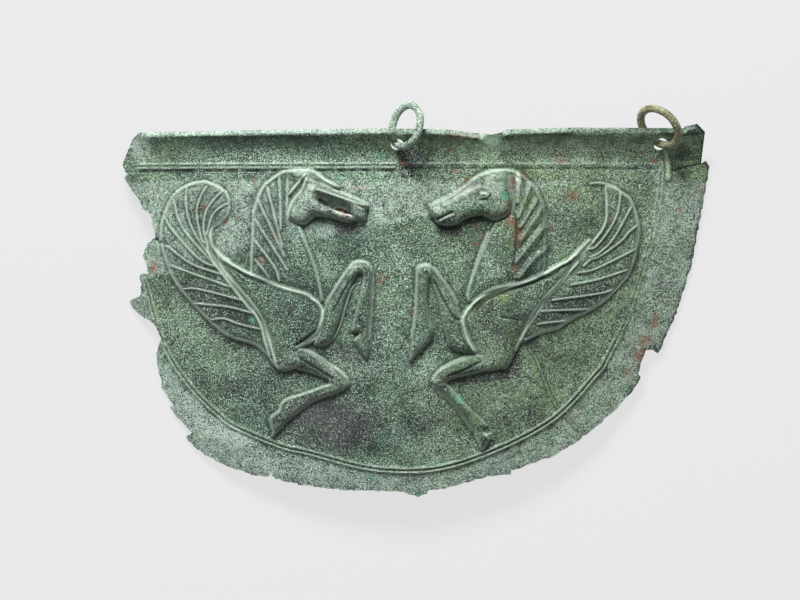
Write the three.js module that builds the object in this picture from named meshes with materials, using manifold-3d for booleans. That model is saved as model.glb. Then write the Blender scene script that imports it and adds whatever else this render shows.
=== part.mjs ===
import * as THREE from 'three';
import { mergeVertices } from 'three/addons/utils/BufferGeometryUtils.js';
import Module from 'manifold-3d';

const wasm = await Module();
wasm.setup();

// Bronze belly guard: one hammered sheet with a broken edge, and two loose rings in its rim.
// It lies on its hollow side: x across, y towards the rim, z up from the floor. Lengths in mm.

const WIDTH = 246.8;            // across the whole plate, corner to corner
const DEPTH = 155.9;            // from the lip to the lowest point of the edge
const SHEET = 1.15;             // thickness of the hammered sheet
const BEND_RADIUS = 236;        // bend of the sheet around the wearer's body
const BEND_X = -1.0;            // the bend's axis, measured from the middle of the plate
const BELLY_DROP = 15;          // how far the sheet curves back towards its lower edge
const FLARE = 8.2;              // how far the hollow band under the lip stands out
const RELIEF = 5.8;             // the highest hammered form over the sheet
const RING_RADIUS = 8.85;       // middle of the ring's wire
const RING_WIRE = 1.48;         // half the thickness of that wire
const BAND = 16;                // width of the plain band outside the curved border
const STROKE = 1.0;             // width of one stroke of the chasing tool
const SQUARE = WIDTH * 1.04;    // side of the square grid the sheet is worked out on
const CELL = 2.0;               // finest cell of that grid, to the nearest halving
const STEP = 0.72;              // largest step left between the grid and the forms

// The curved border: an oval of this half width and depth, with slightly full shoulders, its
// middle at these shares of the width and the depth.
const BORDER = {
  x: -0.0428,
  y: 0.8874,
  half: WIDTH / 2 - BAND * 0.731,
  depth: DEPTH - BAND * 1.919,
  power: 2.2,
};

// Where the double ridge stands off that oval: the turn from the right-hand side, in degrees,
// and how far out, as a share of the band.
const BORDER_LINE = [
  { turn: 1.69, out: 0.146 }, { turn: -11.59, out: 0.005 }, { turn: -30.20, out: -0.097 },
  { turn: -40.47, out: -0.045 }, { turn: -45.10, out: -0.027 }, { turn: -58.72, out: -0.007 },
  { turn: -77.93, out: 0.024 }, { turn: -92.11, out: 0.001 }, { turn: -106.51, out: -0.159 },
  { turn: -111.62, out: -0.079 }, { turn: -121.08, out: 0.071 }, { turn: -124.76, out: 0.094 },
  { turn: -133.36, out: 0.092 }, { turn: -142.87, out: 0.031 }, { turn: -156.14, out: -0.151 },
];

// The broken edge from the left corner, down and around to the right one: the turn around the
// oval, and how far outside it, as a share of the band.
const EDGE = [
  { turn: 178.55, out: 0.073 }, { turn: -179.54, out: -0.046 }, { turn: -178.71, out: 0.007 },
  { turn: -177.62, out: -0.018 }, { turn: -173.01, out: -0.363 }, { turn: -171.14, out: -0.425 },
  { turn: -169.72, out: -0.621 }, { turn: -164.16, out: -0.687 }, { turn: -163.50, out: -0.455 },
  { turn: -162.13, out: -0.320 }, { turn: -160.91, out: -0.267 }, { turn: -157.74, out: -0.302 },
  { turn: -156.82, out: -0.270 }, { turn: -157.64, out: -0.145 }, { turn: -157.51, out: -0.056 },
  { turn: -155.49, out: -0.022 }, { turn: -153.56, out: 0.085 }, { turn: -153.55, out: 0.399 },
  { turn: -153.17, out: 0.427 }, { turn: -151.93, out: 0.391 }, { turn: -149.95, out: 0.249 },
  { turn: -147.60, out: 0.028 }, { turn: -145.43, out: 0.019 }, { turn: -143.87, out: 0.035 },
  { turn: -142.15, out: 0.320 }, { turn: -140.40, out: 0.482 }, { turn: -138.24, out: 0.570 },
  { turn: -136.47, out: 0.722 }, { turn: -132.75, out: 0.782 }, { turn: -133.19, out: 0.850 },
  { turn: -131.56, out: 0.884 }, { turn: -127.20, out: 0.924 }, { turn: -127.69, out: 1.087 },
  { turn: -126.68, out: 1.150 }, { turn: -124.44, out: 1.162 }, { turn: -121.76, out: 1.109 },
  { turn: -118.77, out: 1.053 }, { turn: -115.22, out: 0.957 }, { turn: -111.82, out: 0.829 },
  { turn: -111.87, out: 0.747 }, { turn: -110.48, out: 0.775 }, { turn: -106.22, out: 0.721 },
  { turn: -97.82, out: 0.612 }, { turn: -87.92, out: 0.581 }, { turn: -86.94, out: 0.678 },
  { turn: -85.08, out: 0.740 }, { turn: -83.70, out: 0.683 }, { turn: -83.25, out: 0.603 },
  { turn: -80.34, out: 0.602 }, { turn: -72.30, out: 0.558 }, { turn: -68.55, out: 0.704 },
  { turn: -68.15, out: 0.636 }, { turn: -60.27, out: 0.806 }, { turn: -56.81, out: 0.858 },
  { turn: -49.78, out: 0.955 }, { turn: -49.14, out: 0.897 }, { turn: -47.10, out: 0.973 },
  { turn: -43.75, out: 1.004 }, { turn: -40.37, out: 1.027 }, { turn: -39.66, out: 0.989 },
  { turn: -39.46, out: 0.893 }, { turn: -35.19, out: 0.751 }, { turn: -34.46, out: 0.864 },
  { turn: -34.32, out: 1.095 }, { turn: -26.32, out: 1.111 }, { turn: -17.18, out: 1.155 },
  { turn: 0.79, out: 1.393 },
];

// The rim from the right corner back to the left one: a share of the width, and how far below
// the lip, as a share of the band.
const RIM = [
  { x: 0.4938, below: 0.822 }, { x: 0.4856, below: 0.895 }, { x: 0.4912, below: 0.076 },
  { x: 0.4771, below: -0.134 }, { x: 0.4558, below: -0.058 }, { x: 0.4551, below: -0.016 },
  { x: 0.2705, below: -0.016 }, { x: 0.1526, below: 0.042 }, { x: 0.1432, below: 0.126 },
  { x: 0.1267, below: 0.184 }, { x: 0.0491, below: 0.042 }, { x: -0.0496, below: 0.021 },
  { x: -0.4705, below: 0.089 }, { x: -0.4824, below: 0.270 },
];

// Straight lines of the rim's moulding: height in the depth, how high and how wide each stands.
const MOULDING = [
  { line: 'upper roll', y: 0.9097, rise: 0.21, half: 1.2 },
  { line: 'lower roll', y: 0.9001, rise: 0.25, half: 1.2 },
  { line: 'sunk line', y: 0.8862, rise: -0.10, half: 1.0 },
];

// The lip: a thin bead along the rim, missing over one break. The twin ridges of the border
// stand this far to each side of its line.
const LIP = { y: 0.992, rise: 0.17, half: 1.5, from: 0.032, to: 0.99 };
const TWIN = { apart: 0.85, rise: 0.14, half: 0.85 };
const LIP_BREAK = { from: 0.6127, to: 0.6436 };

// Each horse in a frame of its own: side of the plate, outer end and hooves, width and height.
const LEFT_HORSE = { side: -1, x: -0.4342, y: 0.1681, width: 0.3608, height: 0.722 };
const RIGHT_HORSE = { side: 1, x: 0.3792, y: 0.1331, width: 0.3914, height: 0.757 };

// Hammered forms, closed outlines in the horse's frame, from the outer end and from the hooves.
// A form rises by a share of the relief, over the width of its soft shoulder.
const LEFT_FORMS = [
  { form: 'wing', rise: 0.22, soft: 1.6,
    x: [0.241, 0.316, 0.316, 0.245, 0.184, 0.090, 0.014, 0.000, 0.028, 0.146, 0.321, 0.458, 0.557,
      0.448, 0.307, 0.250, 0.238],
    y: [0.780, 0.828, 0.907, 0.946, 0.955, 0.925, 0.828, 0.757, 0.653, 0.504, 0.382, 0.343, 0.257,
      0.481, 0.619, 0.694, 0.746] },
  { form: 'shoulder', rise: 0.46, soft: 7,
    x: [0.241, 0.259, 0.325, 0.514, 0.689, 0.750, 0.764, 0.750, 0.693, 0.642, 0.656, 0.632, 0.552,
      0.491, 0.259],
    y: [0.776, 0.701, 0.657, 0.582, 0.537, 0.500, 0.459, 0.403, 0.354, 0.332, 0.291, 0.259, 0.261,
      0.422, 0.679] },
  { form: 'neck', rise: 0.4, soft: 6,
    x: [0.429, 0.458, 0.561, 0.656, 0.712, 0.618, 0.604, 0.646, 0.670, 0.731, 0.764, 0.689, 0.514],
    y: [0.616, 0.899, 0.985, 1.000, 0.993, 0.873, 0.817, 0.797, 0.776, 0.634, 0.507, 0.537, 0.582] },
  { form: 'head', rise: 0.86, soft: 5,
    x: [0.679, 0.750, 0.939, 0.976, 0.972, 0.962, 0.920, 0.901, 0.868, 0.797, 0.717, 0.675, 0.604,
      0.618, 0.665],
    y: [0.978, 0.951, 0.888, 0.866, 0.843, 0.806, 0.813, 0.802, 0.802, 0.817, 0.821, 0.797, 0.817,
      0.873, 0.925] },
  { form: 'crown', rise: 0.5, soft: 3,
    x: [0.599, 0.703, 0.774, 0.854, 0.797, 0.741, 0.618],
    y: [0.996, 0.998, 0.970, 0.933, 0.929, 0.948, 0.963] },
  { form: 'raised thigh', rise: 0.5, soft: 4,
    x: [0.778, 0.892, 0.958, 0.981, 1.000, 0.967, 0.934, 0.877, 0.849, 0.797, 0.722, 0.750],
    y: [0.500, 0.642, 0.660, 0.649, 0.616, 0.590, 0.612, 0.526, 0.448, 0.358, 0.347, 0.403] },
  { form: 'raised shin', rise: 0.42, soft: 2.4,
    x: [0.929, 0.995, 0.986, 0.976, 0.962, 0.910, 0.934, 0.910, 0.899, 0.953],
    y: [0.657, 0.634, 0.422, 0.302, 0.299, 0.362, 0.388, 0.396, 0.410, 0.597] },
  { form: 'rear shank', rise: 0.24, soft: 1.4,
    x: [0.925, 0.901, 0.844, 0.788, 0.717, 0.797, 0.835, 0.863, 0.892],
    y: [0.575, 0.541, 0.403, 0.347, 0.343, 0.362, 0.410, 0.485, 0.556] },
  { form: 'lower thigh', rise: 0.46, soft: 4,
    x: [0.637, 0.679, 0.783, 0.844, 0.882, 0.889, 0.849, 0.797, 0.769, 0.632, 0.552],
    y: [0.325, 0.334, 0.280, 0.254, 0.224, 0.194, 0.175, 0.201, 0.224, 0.259, 0.261] },
  { form: 'lower shin', rise: 0.36, soft: 2.6,
    x: [0.849, 0.722, 0.608, 0.561, 0.524, 0.524, 0.519, 0.557, 0.566, 0.599, 0.854],
    y: [0.175, 0.134, 0.067, 0.026, 0.000, 0.037, 0.078, 0.104, 0.127, 0.149, 0.216] },
];
const RIGHT_FORMS = [
  { form: 'wing', rise: 0.22, soft: 1.6,
    x: [0.291, 0.230, 0.217, 0.222, 0.217, 0.343, 0.404, 0.526, 0.430, 0.361, 0.300, 0.170, 0.117,
      0.035, 0.013, -0.000, 0.035, 0.083, 0.139, 0.204, 0.270],
    y: [0.929, 0.865, 0.836, 0.769, 0.751, 0.601, 0.548, 0.388, 0.420, 0.434, 0.466, 0.523, 0.566,
      0.651, 0.715, 0.794, 0.893, 0.929, 0.943, 0.948, 0.925] },
  { form: 'shoulder', rise: 0.46, soft: 7,
    x: [0.217, 0.265, 0.439, 0.661, 0.735, 0.765, 0.687, 0.674, 0.604, 0.565, 0.491, 0.430, 0.343],
    y: [0.751, 0.708, 0.623, 0.562, 0.516, 0.448, 0.320, 0.285, 0.292, 0.306, 0.441, 0.523, 0.601] },
  { form: 'neck', rise: 0.4, soft: 6,
    x: [0.583, 0.522, 0.470, 0.430, 0.413, 0.413, 0.474, 0.661, 0.739, 0.748, 0.696, 0.622, 0.574,
      0.552, 0.574],
    y: [1.000, 0.989, 0.950, 0.904, 0.840, 0.644, 0.609, 0.562, 0.527, 0.573, 0.687, 0.822, 0.843,
      0.879, 0.972] },
  { form: 'head', rise: 0.8, soft: 5,
    x: [0.604, 0.683, 0.822, 0.900, 0.913, 0.891, 0.865, 0.800, 0.743, 0.674, 0.622, 0.557, 0.574],
    y: [1.000, 0.989, 0.907, 0.877, 0.854, 0.815, 0.801, 0.801, 0.826, 0.836, 0.822, 0.861, 0.975] },
  { form: 'raised thigh', rise: 0.5, soft: 4,
    x: [0.965, 0.930, 0.887, 0.791, 0.757, 0.713, 0.813, 0.843, 0.874, 0.909, 0.943],
    y: [0.644, 0.664, 0.646, 0.527, 0.420, 0.352, 0.363, 0.409, 0.527, 0.609, 0.623] },
  { form: 'raised shin', rise: 0.42, soft: 2.4,
    x: [0.965, 0.909, 0.920, 0.913, 0.896, 0.965, 1.000, 0.974],
    y: [0.644, 0.651, 0.555, 0.484, 0.413, 0.342, 0.327, 0.502] },
  { form: 'lower thigh', rise: 0.46, soft: 4,
    x: [0.704, 0.865, 0.896, 0.839, 0.813, 0.674, 0.648],
    y: [0.345, 0.292, 0.235, 0.238, 0.256, 0.285, 0.317] },
  { form: 'lower shin', rise: 0.36, soft: 2.6,
    x: [0.900, 0.896, 0.804, 0.730, 0.687, 0.648, 0.678, 0.661, 0.752, 0.835],
    y: [0.260, 0.235, 0.164, 0.075, 0.000, 0.043, 0.075, 0.096, 0.167, 0.242] },
];

// Chased lines in the same frame: raised where the rise is above nought, else sunk.
const LEFT_LINES = [
  { line: 'feather', rise: 0.13, half: 0.9,
    x: [0.321, 0.288, 0.245, 0.217],
    y: [0.873, 0.862, 0.828, 0.757] },
  { line: 'feather', rise: 0.13, half: 0.9,
    x: [0.295, 0.245, 0.212, 0.205, 0.219],
    y: [0.922, 0.881, 0.836, 0.776, 0.728] },
  { line: 'feather', rise: 0.13, half: 0.9,
    x: [0.217, 0.184, 0.172, 0.193, 0.212],
    y: [0.937, 0.888, 0.832, 0.746, 0.724] },
  { line: 'feather', rise: 0.13, half: 0.9,
    x: [0.123, 0.120, 0.132, 0.160, 0.229],
    y: [0.933, 0.881, 0.821, 0.765, 0.683] },
  { line: 'feather', rise: 0.13, half: 0.9,
    x: [0.061, 0.108, 0.269],
    y: [0.888, 0.780, 0.634] },
  { line: 'feather', rise: 0.13, half: 0.9,
    x: [0.019, 0.052, 0.151, 0.212, 0.269],
    y: [0.825, 0.780, 0.690, 0.653, 0.638] },
  { line: 'feather', rise: 0.13, half: 0.9,
    x: [0.009, 0.142, 0.297],
    y: [0.731, 0.651, 0.608] },
  { line: 'feather', rise: 0.13, half: 0.9,
    x: [0.042, 0.330],
    y: [0.644, 0.563] },
  { line: 'feather', rise: 0.13, half: 0.9,
    x: [0.108, 0.175, 0.382],
    y: [0.556, 0.556, 0.515] },
  { line: 'feather', rise: 0.13, half: 0.9,
    x: [0.146, 0.321, 0.448],
    y: [0.504, 0.489, 0.463] },
  { line: 'feather', rise: 0.13, half: 0.9,
    x: [0.231, 0.297, 0.373, 0.467],
    y: [0.440, 0.446, 0.425, 0.407] },
  { line: 'wing rim', rise: 0.11, half: 0.9,
    x: [0.241, 0.316, 0.316, 0.245, 0.184, 0.090, 0.035, 0.000, 0.061, 0.203, 0.321, 0.458, 0.557],
    y: [0.780, 0.828, 0.907, 0.946, 0.955, 0.925, 0.869, 0.757, 0.597, 0.459, 0.382, 0.343, 0.257] },
  { line: 'spine', rise: 0.14, half: 1,
    x: [0.219, 0.245, 0.406, 0.439, 0.472, 0.491, 0.514],
    y: [0.728, 0.664, 0.496, 0.470, 0.425, 0.366, 0.306] },
  { line: 'spine', rise: 0.14, half: 1,
    x: [0.274, 0.307, 0.472, 0.542],
    y: [0.664, 0.619, 0.455, 0.284] },
  { line: 'leading edge', rise: 0.22, half: 1.3,
    x: [0.241, 0.238, 0.259, 0.373, 0.561, 0.689, 0.717, 0.750, 0.764, 0.726, 0.642],
    y: [0.776, 0.746, 0.701, 0.632, 0.567, 0.537, 0.519, 0.500, 0.459, 0.373, 0.336] },
  { line: 'leading edge', rise: -0.08, half: 0.8,
    x: [0.278, 0.448, 0.514, 0.632],
    y: [0.660, 0.586, 0.575, 0.545] },
  { line: 'chest', rise: -0.08, half: 0.8,
    x: [0.642, 0.736],
    y: [0.347, 0.403] },
  { line: 'lock', rise: 0.14, half: 1.2,
    x: [0.599, 0.599, 0.594],
    y: [0.963, 0.888, 0.832] },
  { line: 'lock', rise: 0.14, half: 1.2,
    x: [0.561, 0.566, 0.568],
    y: [0.970, 0.888, 0.776] },
  { line: 'lock', rise: 0.14, half: 1.2,
    x: [0.505, 0.575],
    y: [0.933, 0.713] },
  { line: 'lock', rise: 0.14, half: 1.2,
    x: [0.462, 0.585],
    y: [0.884, 0.679] },
  { line: 'lock', rise: 0.14, half: 1.2,
    x: [0.448, 0.599],
    y: [0.813, 0.627] },
  { line: 'lock', rise: 0.14, half: 1.2,
    x: [0.436, 0.538, 0.561],
    y: [0.746, 0.638, 0.586] },
  { line: 'lock', rise: 0.14, half: 1.2,
    x: [0.448, 0.476, 0.514],
    y: [0.664, 0.638, 0.597] },
  { line: 'cheek', rise: 0.14, half: 0.9,
    x: [0.717, 0.675, 0.604, 0.618, 0.665, 0.689],
    y: [0.821, 0.797, 0.817, 0.873, 0.925, 0.963] },
  { line: 'brow', rise: 0.13, half: 0.9,
    x: [0.741, 0.958],
    y: [0.925, 0.866] },
  { line: 'mouth', rise: -0.1, half: 1.3,
    x: [0.750, 0.901],
    y: [0.877, 0.828] },
  { line: 'eye', rise: -0.1, half: 1.3,
    x: [0.741, 0.755, 0.774],
    y: [0.914, 0.896, 0.877] },
  { line: 'ear', rise: 0.16, half: 1,
    x: [0.684, 0.646, 0.608],
    y: [0.981, 0.944, 0.907] },
  { line: 'thigh fold', rise: -0.1, half: 0.8,
    x: [0.887, 0.816],
    y: [0.582, 0.474] },
  { line: 'thigh fold', rise: -0.1, half: 0.8,
    x: [0.632, 0.811],
    y: [0.310, 0.224] },
];
const RIGHT_LINES = [
  { line: 'feather', rise: 0.13, half: 0.9,
    x: [0.148, 0.148, 0.204],
    y: [0.940, 0.815, 0.740] },
  { line: 'feather', rise: 0.13, half: 0.9,
    x: [0.083, 0.096, 0.135, 0.191, 0.222],
    y: [0.922, 0.847, 0.783, 0.726, 0.719] },
  { line: 'feather', rise: 0.13, half: 0.9,
    x: [0.035, 0.117, 0.183, 0.217],
    y: [0.868, 0.751, 0.701, 0.690] },
  { line: 'feather', rise: 0.13, half: 0.9,
    x: [0.009, 0.048, 0.083, 0.170, 0.213, 0.243],
    y: [0.804, 0.776, 0.744, 0.694, 0.680, 0.658] },
  { line: 'feather', rise: 0.13, half: 0.9,
    x: [0.013, 0.191, 0.270],
    y: [0.719, 0.648, 0.633] },
  { line: 'feather', rise: 0.13, half: 0.9,
    x: [0.052, 0.187, 0.300],
    y: [0.644, 0.609, 0.591] },
  { line: 'feather', rise: 0.13, half: 0.9,
    x: [0.117, 0.183, 0.378],
    y: [0.573, 0.559, 0.537] },
  { line: 'feather', rise: 0.13, half: 0.9,
    x: [0.213, 0.300, 0.426],
    y: [0.505, 0.502, 0.498] },
  { line: 'feather', rise: 0.13, half: 0.9,
    x: [0.313, 0.378, 0.443],
    y: [0.463, 0.459, 0.452] },
  { line: 'feather', rise: 0.13, half: 0.9,
    x: [0.213, 0.187, 0.213],
    y: [0.943, 0.843, 0.754] },
  { line: 'wing rim', rise: 0.11, half: 0.9,
    x: [0.222, 0.217, 0.230, 0.291, 0.270, 0.204, 0.083, 0.035, -0.000, 0.035, 0.074, 0.170, 0.300,
      0.361, 0.430, 0.496],
    y: [0.769, 0.836, 0.865, 0.929, 0.925, 0.948, 0.929, 0.893, 0.794, 0.651, 0.601, 0.523, 0.466,
      0.434, 0.420, 0.395] },
  { line: 'spine', rise: 0.14, half: 1,
    x: [0.213, 0.343, 0.452, 0.539],
    y: [0.751, 0.601, 0.498, 0.359] },
  { line: 'spine', rise: 0.14, half: 1,
    x: [0.270, 0.417],
    y: [0.669, 0.541] },
  { line: 'leading edge', rise: 0.24, half: 1.5,
    x: [0.217, 0.313, 0.343, 0.474, 0.635, 0.713, 0.765, 0.765, 0.743, 0.713],
    y: [0.751, 0.676, 0.665, 0.609, 0.573, 0.534, 0.480, 0.448, 0.395, 0.352] },
  { line: 'leading edge', rise: -0.08, half: 0.8,
    x: [0.300, 0.343, 0.387, 0.648, 0.704],
    y: [0.673, 0.651, 0.623, 0.544, 0.505] },
  { line: 'lock', rise: 0.14, half: 1.2,
    x: [0.478, 0.526],
    y: [0.943, 0.833] },
  { line: 'lock', rise: 0.14, half: 1.2,
    x: [0.448, 0.483, 0.517],
    y: [0.893, 0.843, 0.797] },
  { line: 'lock', rise: 0.14, half: 1.2,
    x: [0.426, 0.465, 0.517],
    y: [0.861, 0.815, 0.751] },
  { line: 'lock', rise: 0.14, half: 1.2,
    x: [0.417, 0.470, 0.539],
    y: [0.794, 0.744, 0.673] },
  { line: 'lock', rise: 0.14, half: 1.2,
    x: [0.409, 0.465, 0.526],
    y: [0.715, 0.680, 0.616] },
  { line: 'lock', rise: 0.14, half: 1.2,
    x: [0.522, 0.526, 0.530],
    y: [0.979, 0.929, 0.883] },
  { line: 'mane edge', rise: 0.12, half: 1,
    x: [0.561, 0.535, 0.548],
    y: [0.875, 0.804, 0.662] },
  { line: 'cheek', rise: 0.14, half: 0.9,
    x: [0.674, 0.622, 0.557, 0.570],
    y: [0.836, 0.822, 0.861, 0.950] },
  { line: 'mouth', rise: -0.14, half: 0.9,
    x: [0.874, 0.843, 0.813],
    y: [0.822, 0.833, 0.843] },
  { line: 'brow', rise: 0.13, half: 0.9,
    x: [0.700, 0.848],
    y: [0.936, 0.879] },
  { line: 'eye', rise: 0.16, half: 1.2,
    x: [0.687, 0.674, 0.661],
    y: [0.911, 0.913, 0.907] },
  { line: 'eye', rise: -0.12, half: 0.8,
    x: [0.700, 0.674, 0.648],
    y: [0.897, 0.893, 0.904] },
  { line: 'thigh fold', rise: -0.12, half: 0.9,
    x: [0.887, 0.813, 0.774],
    y: [0.598, 0.484, 0.466] },
  { line: 'thigh fold', rise: -0.1, half: 0.8,
    x: [0.830, 0.774, 0.687],
    y: [0.270, 0.285, 0.320] },
];

// Rings: the hole's place and radius, then how the ring lies in it: the turn of its long axis,
// its roll about that axis, how far the axis tips up, and how high it sits in the hole.
// Radius and height are shares of the sheet's thickness.
const RINGS = [
  { name: 'centre_ring', x: -0.0326, y: 0.9588, hole: 2.39,
    turn: 21, roll: 50, pitch: 13, lift: 0.26, grow: 1.0 },
  { name: 'right_ring', x: 0.4107, y: 0.9615, hole: 2.7,
    turn: 5, roll: 23.5, pitch: 34, lift: 0, grow: 1.08 },
];

const clamp = (v, a, b) => Math.min(b, Math.max(a, v));
const rad = (d) => d * Math.PI / 180;
const atX = (share) => share * WIDTH;
const atY = (share) => share * DEPTH - DEPTH * 0.5;
const bumpOf = (d, half) => (d < half ? (1 - (d / half) ** 2) ** 2 : 0);

// A smooth curve through the rows of a table.
function smooth(points, closed, steps) {
  const n = points.length;
  const out = [];
  const last = closed ? n : n - 1;
  const pick = (i) => {
    if (closed) return points[(i + n) % n];
    if (i < 0) return [2 * points[0][0] - points[1][0], 2 * points[0][1] - points[1][1]];
    if (i < n) return points[i];
    return [2 * points[n - 1][0] - points[n - 2][0], 2 * points[n - 1][1] - points[n - 2][1]];
  };
  for (let i = 0; i < last; i += 1) {
    const [a, b, c, d] = [pick(i - 1), pick(i), pick(i + 1), pick(i + 2)];
    for (let k = 0; k < steps; k += 1) {
      const t = k / steps;
      const mix = (j) => 0.5 * (2 * b[j] + (c[j] - a[j]) * t
        + (2 * a[j] - 5 * b[j] + 4 * c[j] - d[j]) * t * t
        + (3 * b[j] - a[j] - 3 * c[j] + d[j]) * t * t * t);
      out.push([mix(0), mix(1)]);
    }
  }
  if (!closed) out.push(points[n - 1]);
  return out;
}

// Distance from a point to a run of straight pieces, and whether a closed run holds it.
function reach(run, closed, x, y) {
  let best = Infinity;
  let inside = false;
  const n = run.length;
  for (let i = closed ? 0 : 1; i < n; i += 1) {
    const [ax, ay] = run[(i + n - 1) % n];
    const [bx, by] = run[i];
    const dx = bx - ax;
    const dy = by - ay;
    const t = clamp(((x - ax) * dx + (y - ay) * dy) / (dx * dx + dy * dy + 1e-12), 0, 1);
    best = Math.min(best, (x - ax - t * dx) ** 2 + (y - ay - t * dy) ** 2);
    if ((ay > y) !== (by > y) && x < ax + dx * (y - ay) / dy) inside = !inside;
  }
  return { gap: Math.sqrt(best), inside };
}

// A table row of a horse turned into a run of points on the plate, with its bounds.
function placed(row, frame, closed) {
  const points = row.x.map((share, i) => [
    atX(frame.x - frame.side * frame.width * share),
    atY(frame.y + frame.height * row.y[i]),
  ]);
  const run = smooth(points, closed, 5);
  const xs = run.map((p) => p[0]);
  const ys = run.map((p) => p[1]);
  const pad = closed ? 0 : row.half * STROKE;
  return {
    ...row,
    run,
    box: [Math.min(...xs) - pad, Math.max(...xs) + pad, Math.min(...ys) - pad, Math.max(...ys) + pad],
  };
}

const forms = [
  ...LEFT_FORMS.map((row) => placed(row, LEFT_HORSE, true)),
  ...RIGHT_FORMS.map((row) => placed(row, RIGHT_HORSE, true)),
];
const lines = [
  ...LEFT_LINES.map((row) => placed(row, LEFT_HORSE, false)),
  ...RIGHT_LINES.map((row) => placed(row, RIGHT_HORSE, false)),
];

// A point on the border's oval, pushed out by a length.
function onOval(turn, out) {
  const c = Math.cos(rad(turn));
  const s = Math.sin(rad(turn));
  const a = BORDER.half;
  const b = BORDER.depth;
  const r = (Math.abs(c / a) ** BORDER.power + Math.abs(s / b) ** BORDER.power) ** (-1 / BORDER.power);
  return [atX(BORDER.x) + (r + out) * c, atY(BORDER.y) + (r + out) * s];
}

const borderRun = smooth(BORDER_LINE.map((row) => onOval(row.turn, row.out * BAND)), false, 6);
const outline = [
  ...EDGE.map((row) => onOval(row.turn, row.out * BAND)),
  ...RIM.map((row) => [atX(row.x), atY(1) - row.below * BAND]),
];

// The plain sheet: bent around the body, curved back below, flared out to the lip above.
function plain(x, y) {
  const side = x - BEND_X;
  let z = Math.sqrt(BEND_RADIUS ** 2 - side * side) - BEND_RADIUS;
  const low = Math.max(0, atY(0.88) - y) / (DEPTH * 0.88);
  z -= BELLY_DROP * low * low;
  const up = clamp((y - atY(0.912)) / (DEPTH * 0.088), 0, 1.1);
  const left = clamp((x + WIDTH * 0.475) / (WIDTH * 0.02), 0.15, 1);
  return z + FLARE * up ** 1.8 * left;
}

// The hammered forms, in mm over the sheet.
function formsAt(x, y) {
  let high = 0;
  for (const form of forms) {
    if (x < form.box[0] || x > form.box[1] || y < form.box[2] || y > form.box[3]) continue;
    const { gap, inside } = reach(form.run, true, x, y);
    if (!inside) continue;
    const t = clamp(gap / (form.soft * STROKE), 0, 1);
    high = Math.max(high, form.rise * RELIEF * Math.sin(t * Math.PI / 2) ** 1.5);
  }
  return high;
}

// The chased lines, the moulding, the border and the lip, raised or sunk, in mm.
function linesAt(x, y) {
  let up = 0;
  let down = 0;
  for (const line of lines) {
    if (x < line.box[0] || x > line.box[1] || y < line.box[2] || y > line.box[3]) continue;
    const z = line.rise * RELIEF * bumpOf(reach(line.run, false, x, y).gap, line.half * STROKE);
    up = Math.max(up, z);
    down = Math.min(down, z);
  }
  const span = x / WIDTH + 0.5;
  for (const row of MOULDING) {
    const z = row.rise * RELIEF * bumpOf(Math.abs(y - atY(row.y)), row.half * STROKE);
    up = Math.max(up, span < 0.92 ? z : 0);
    down = Math.min(down, span < 0.92 ? z : 0);
  }
  const border = Math.abs(reach(borderRun, false, x, y).gap - TWIN.apart * STROKE);
  if (y < atY(0.895)) up = Math.max(up, TWIN.rise * RELIEF * bumpOf(border, TWIN.half * STROKE));
  const beaded = span > LIP.from && span < LIP.to;
  if (beaded && (span < LIP_BREAK.from || span > LIP_BREAK.to)) {
    up = Math.max(up, LIP.rise * RELIEF * bumpOf(Math.abs(y - atY(LIP.y)), LIP.half * STROKE));
  }
  return up + down;
}

function steepness(x, y) {
  const dx = (plain(x + 0.5, y) - plain(x - 0.5, y));
  const dy = (plain(x, y + 0.5) - plain(x, y - 0.5));
  return Math.sqrt(1 + dx * dx + dy * dy);
}

// The plane through the three edge points the plate rests on, under its middle of weight.
function restPlane() {
  const feet = outline.map(([x, y]) => [x, y, plain(x, y) - SHEET * steepness(x, y)]);
  let area = 0;
  let cx = 0;
  let cy = 0;
  outline.forEach(([x, y], i) => {
    const [nx, ny] = outline[(i + 1) % outline.length];
    const cross = x * ny - nx * y;
    area += cross / 2;
    cx += (x + nx) * cross / 6;
    cy += (y + ny) * cross / 6;
  });
  cx /= area;
  cy /= area;
  let best = null;
  for (let i = 0; i < feet.length; i += 1) {
    for (let j = i + 1; j < feet.length; j += 1) {
      for (let k = j + 1; k < feet.length; k += 1) {
        const [a, b, c] = [feet[i], feet[j], feet[k]];
        const det = (b[0] - a[0]) * (c[1] - a[1]) - (c[0] - a[0]) * (b[1] - a[1]);
        if (Math.abs(det) < 1) continue;
        const u = ((cx - a[0]) * (c[1] - a[1]) - (c[0] - a[0]) * (cy - a[1])) / det;
        const v = ((b[0] - a[0]) * (cy - a[1]) - (cx - a[0]) * (b[1] - a[1])) / det;
        if (u < 0 || v < 0 || u + v > 1) continue;
        const gx = ((b[2] - a[2]) * (c[1] - a[1]) - (c[2] - a[2]) * (b[1] - a[1])) / det;
        const gy = ((b[0] - a[0]) * (c[2] - a[2]) - (c[0] - a[0]) * (b[2] - a[2])) / det;
        const z0 = a[2] - gx * a[0] - gy * a[1];
        if (feet.some((p) => p[2] < z0 + gx * p[0] + gy * p[1] - 1e-6)) continue;
        best = { gx, gy, z0 };
      }
    }
  }
  return best;
}

const rest = restPlane();
const front = (x, y) => plain(x, y) - (rest.z0 + rest.gx * x + rest.gy * y);

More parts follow.
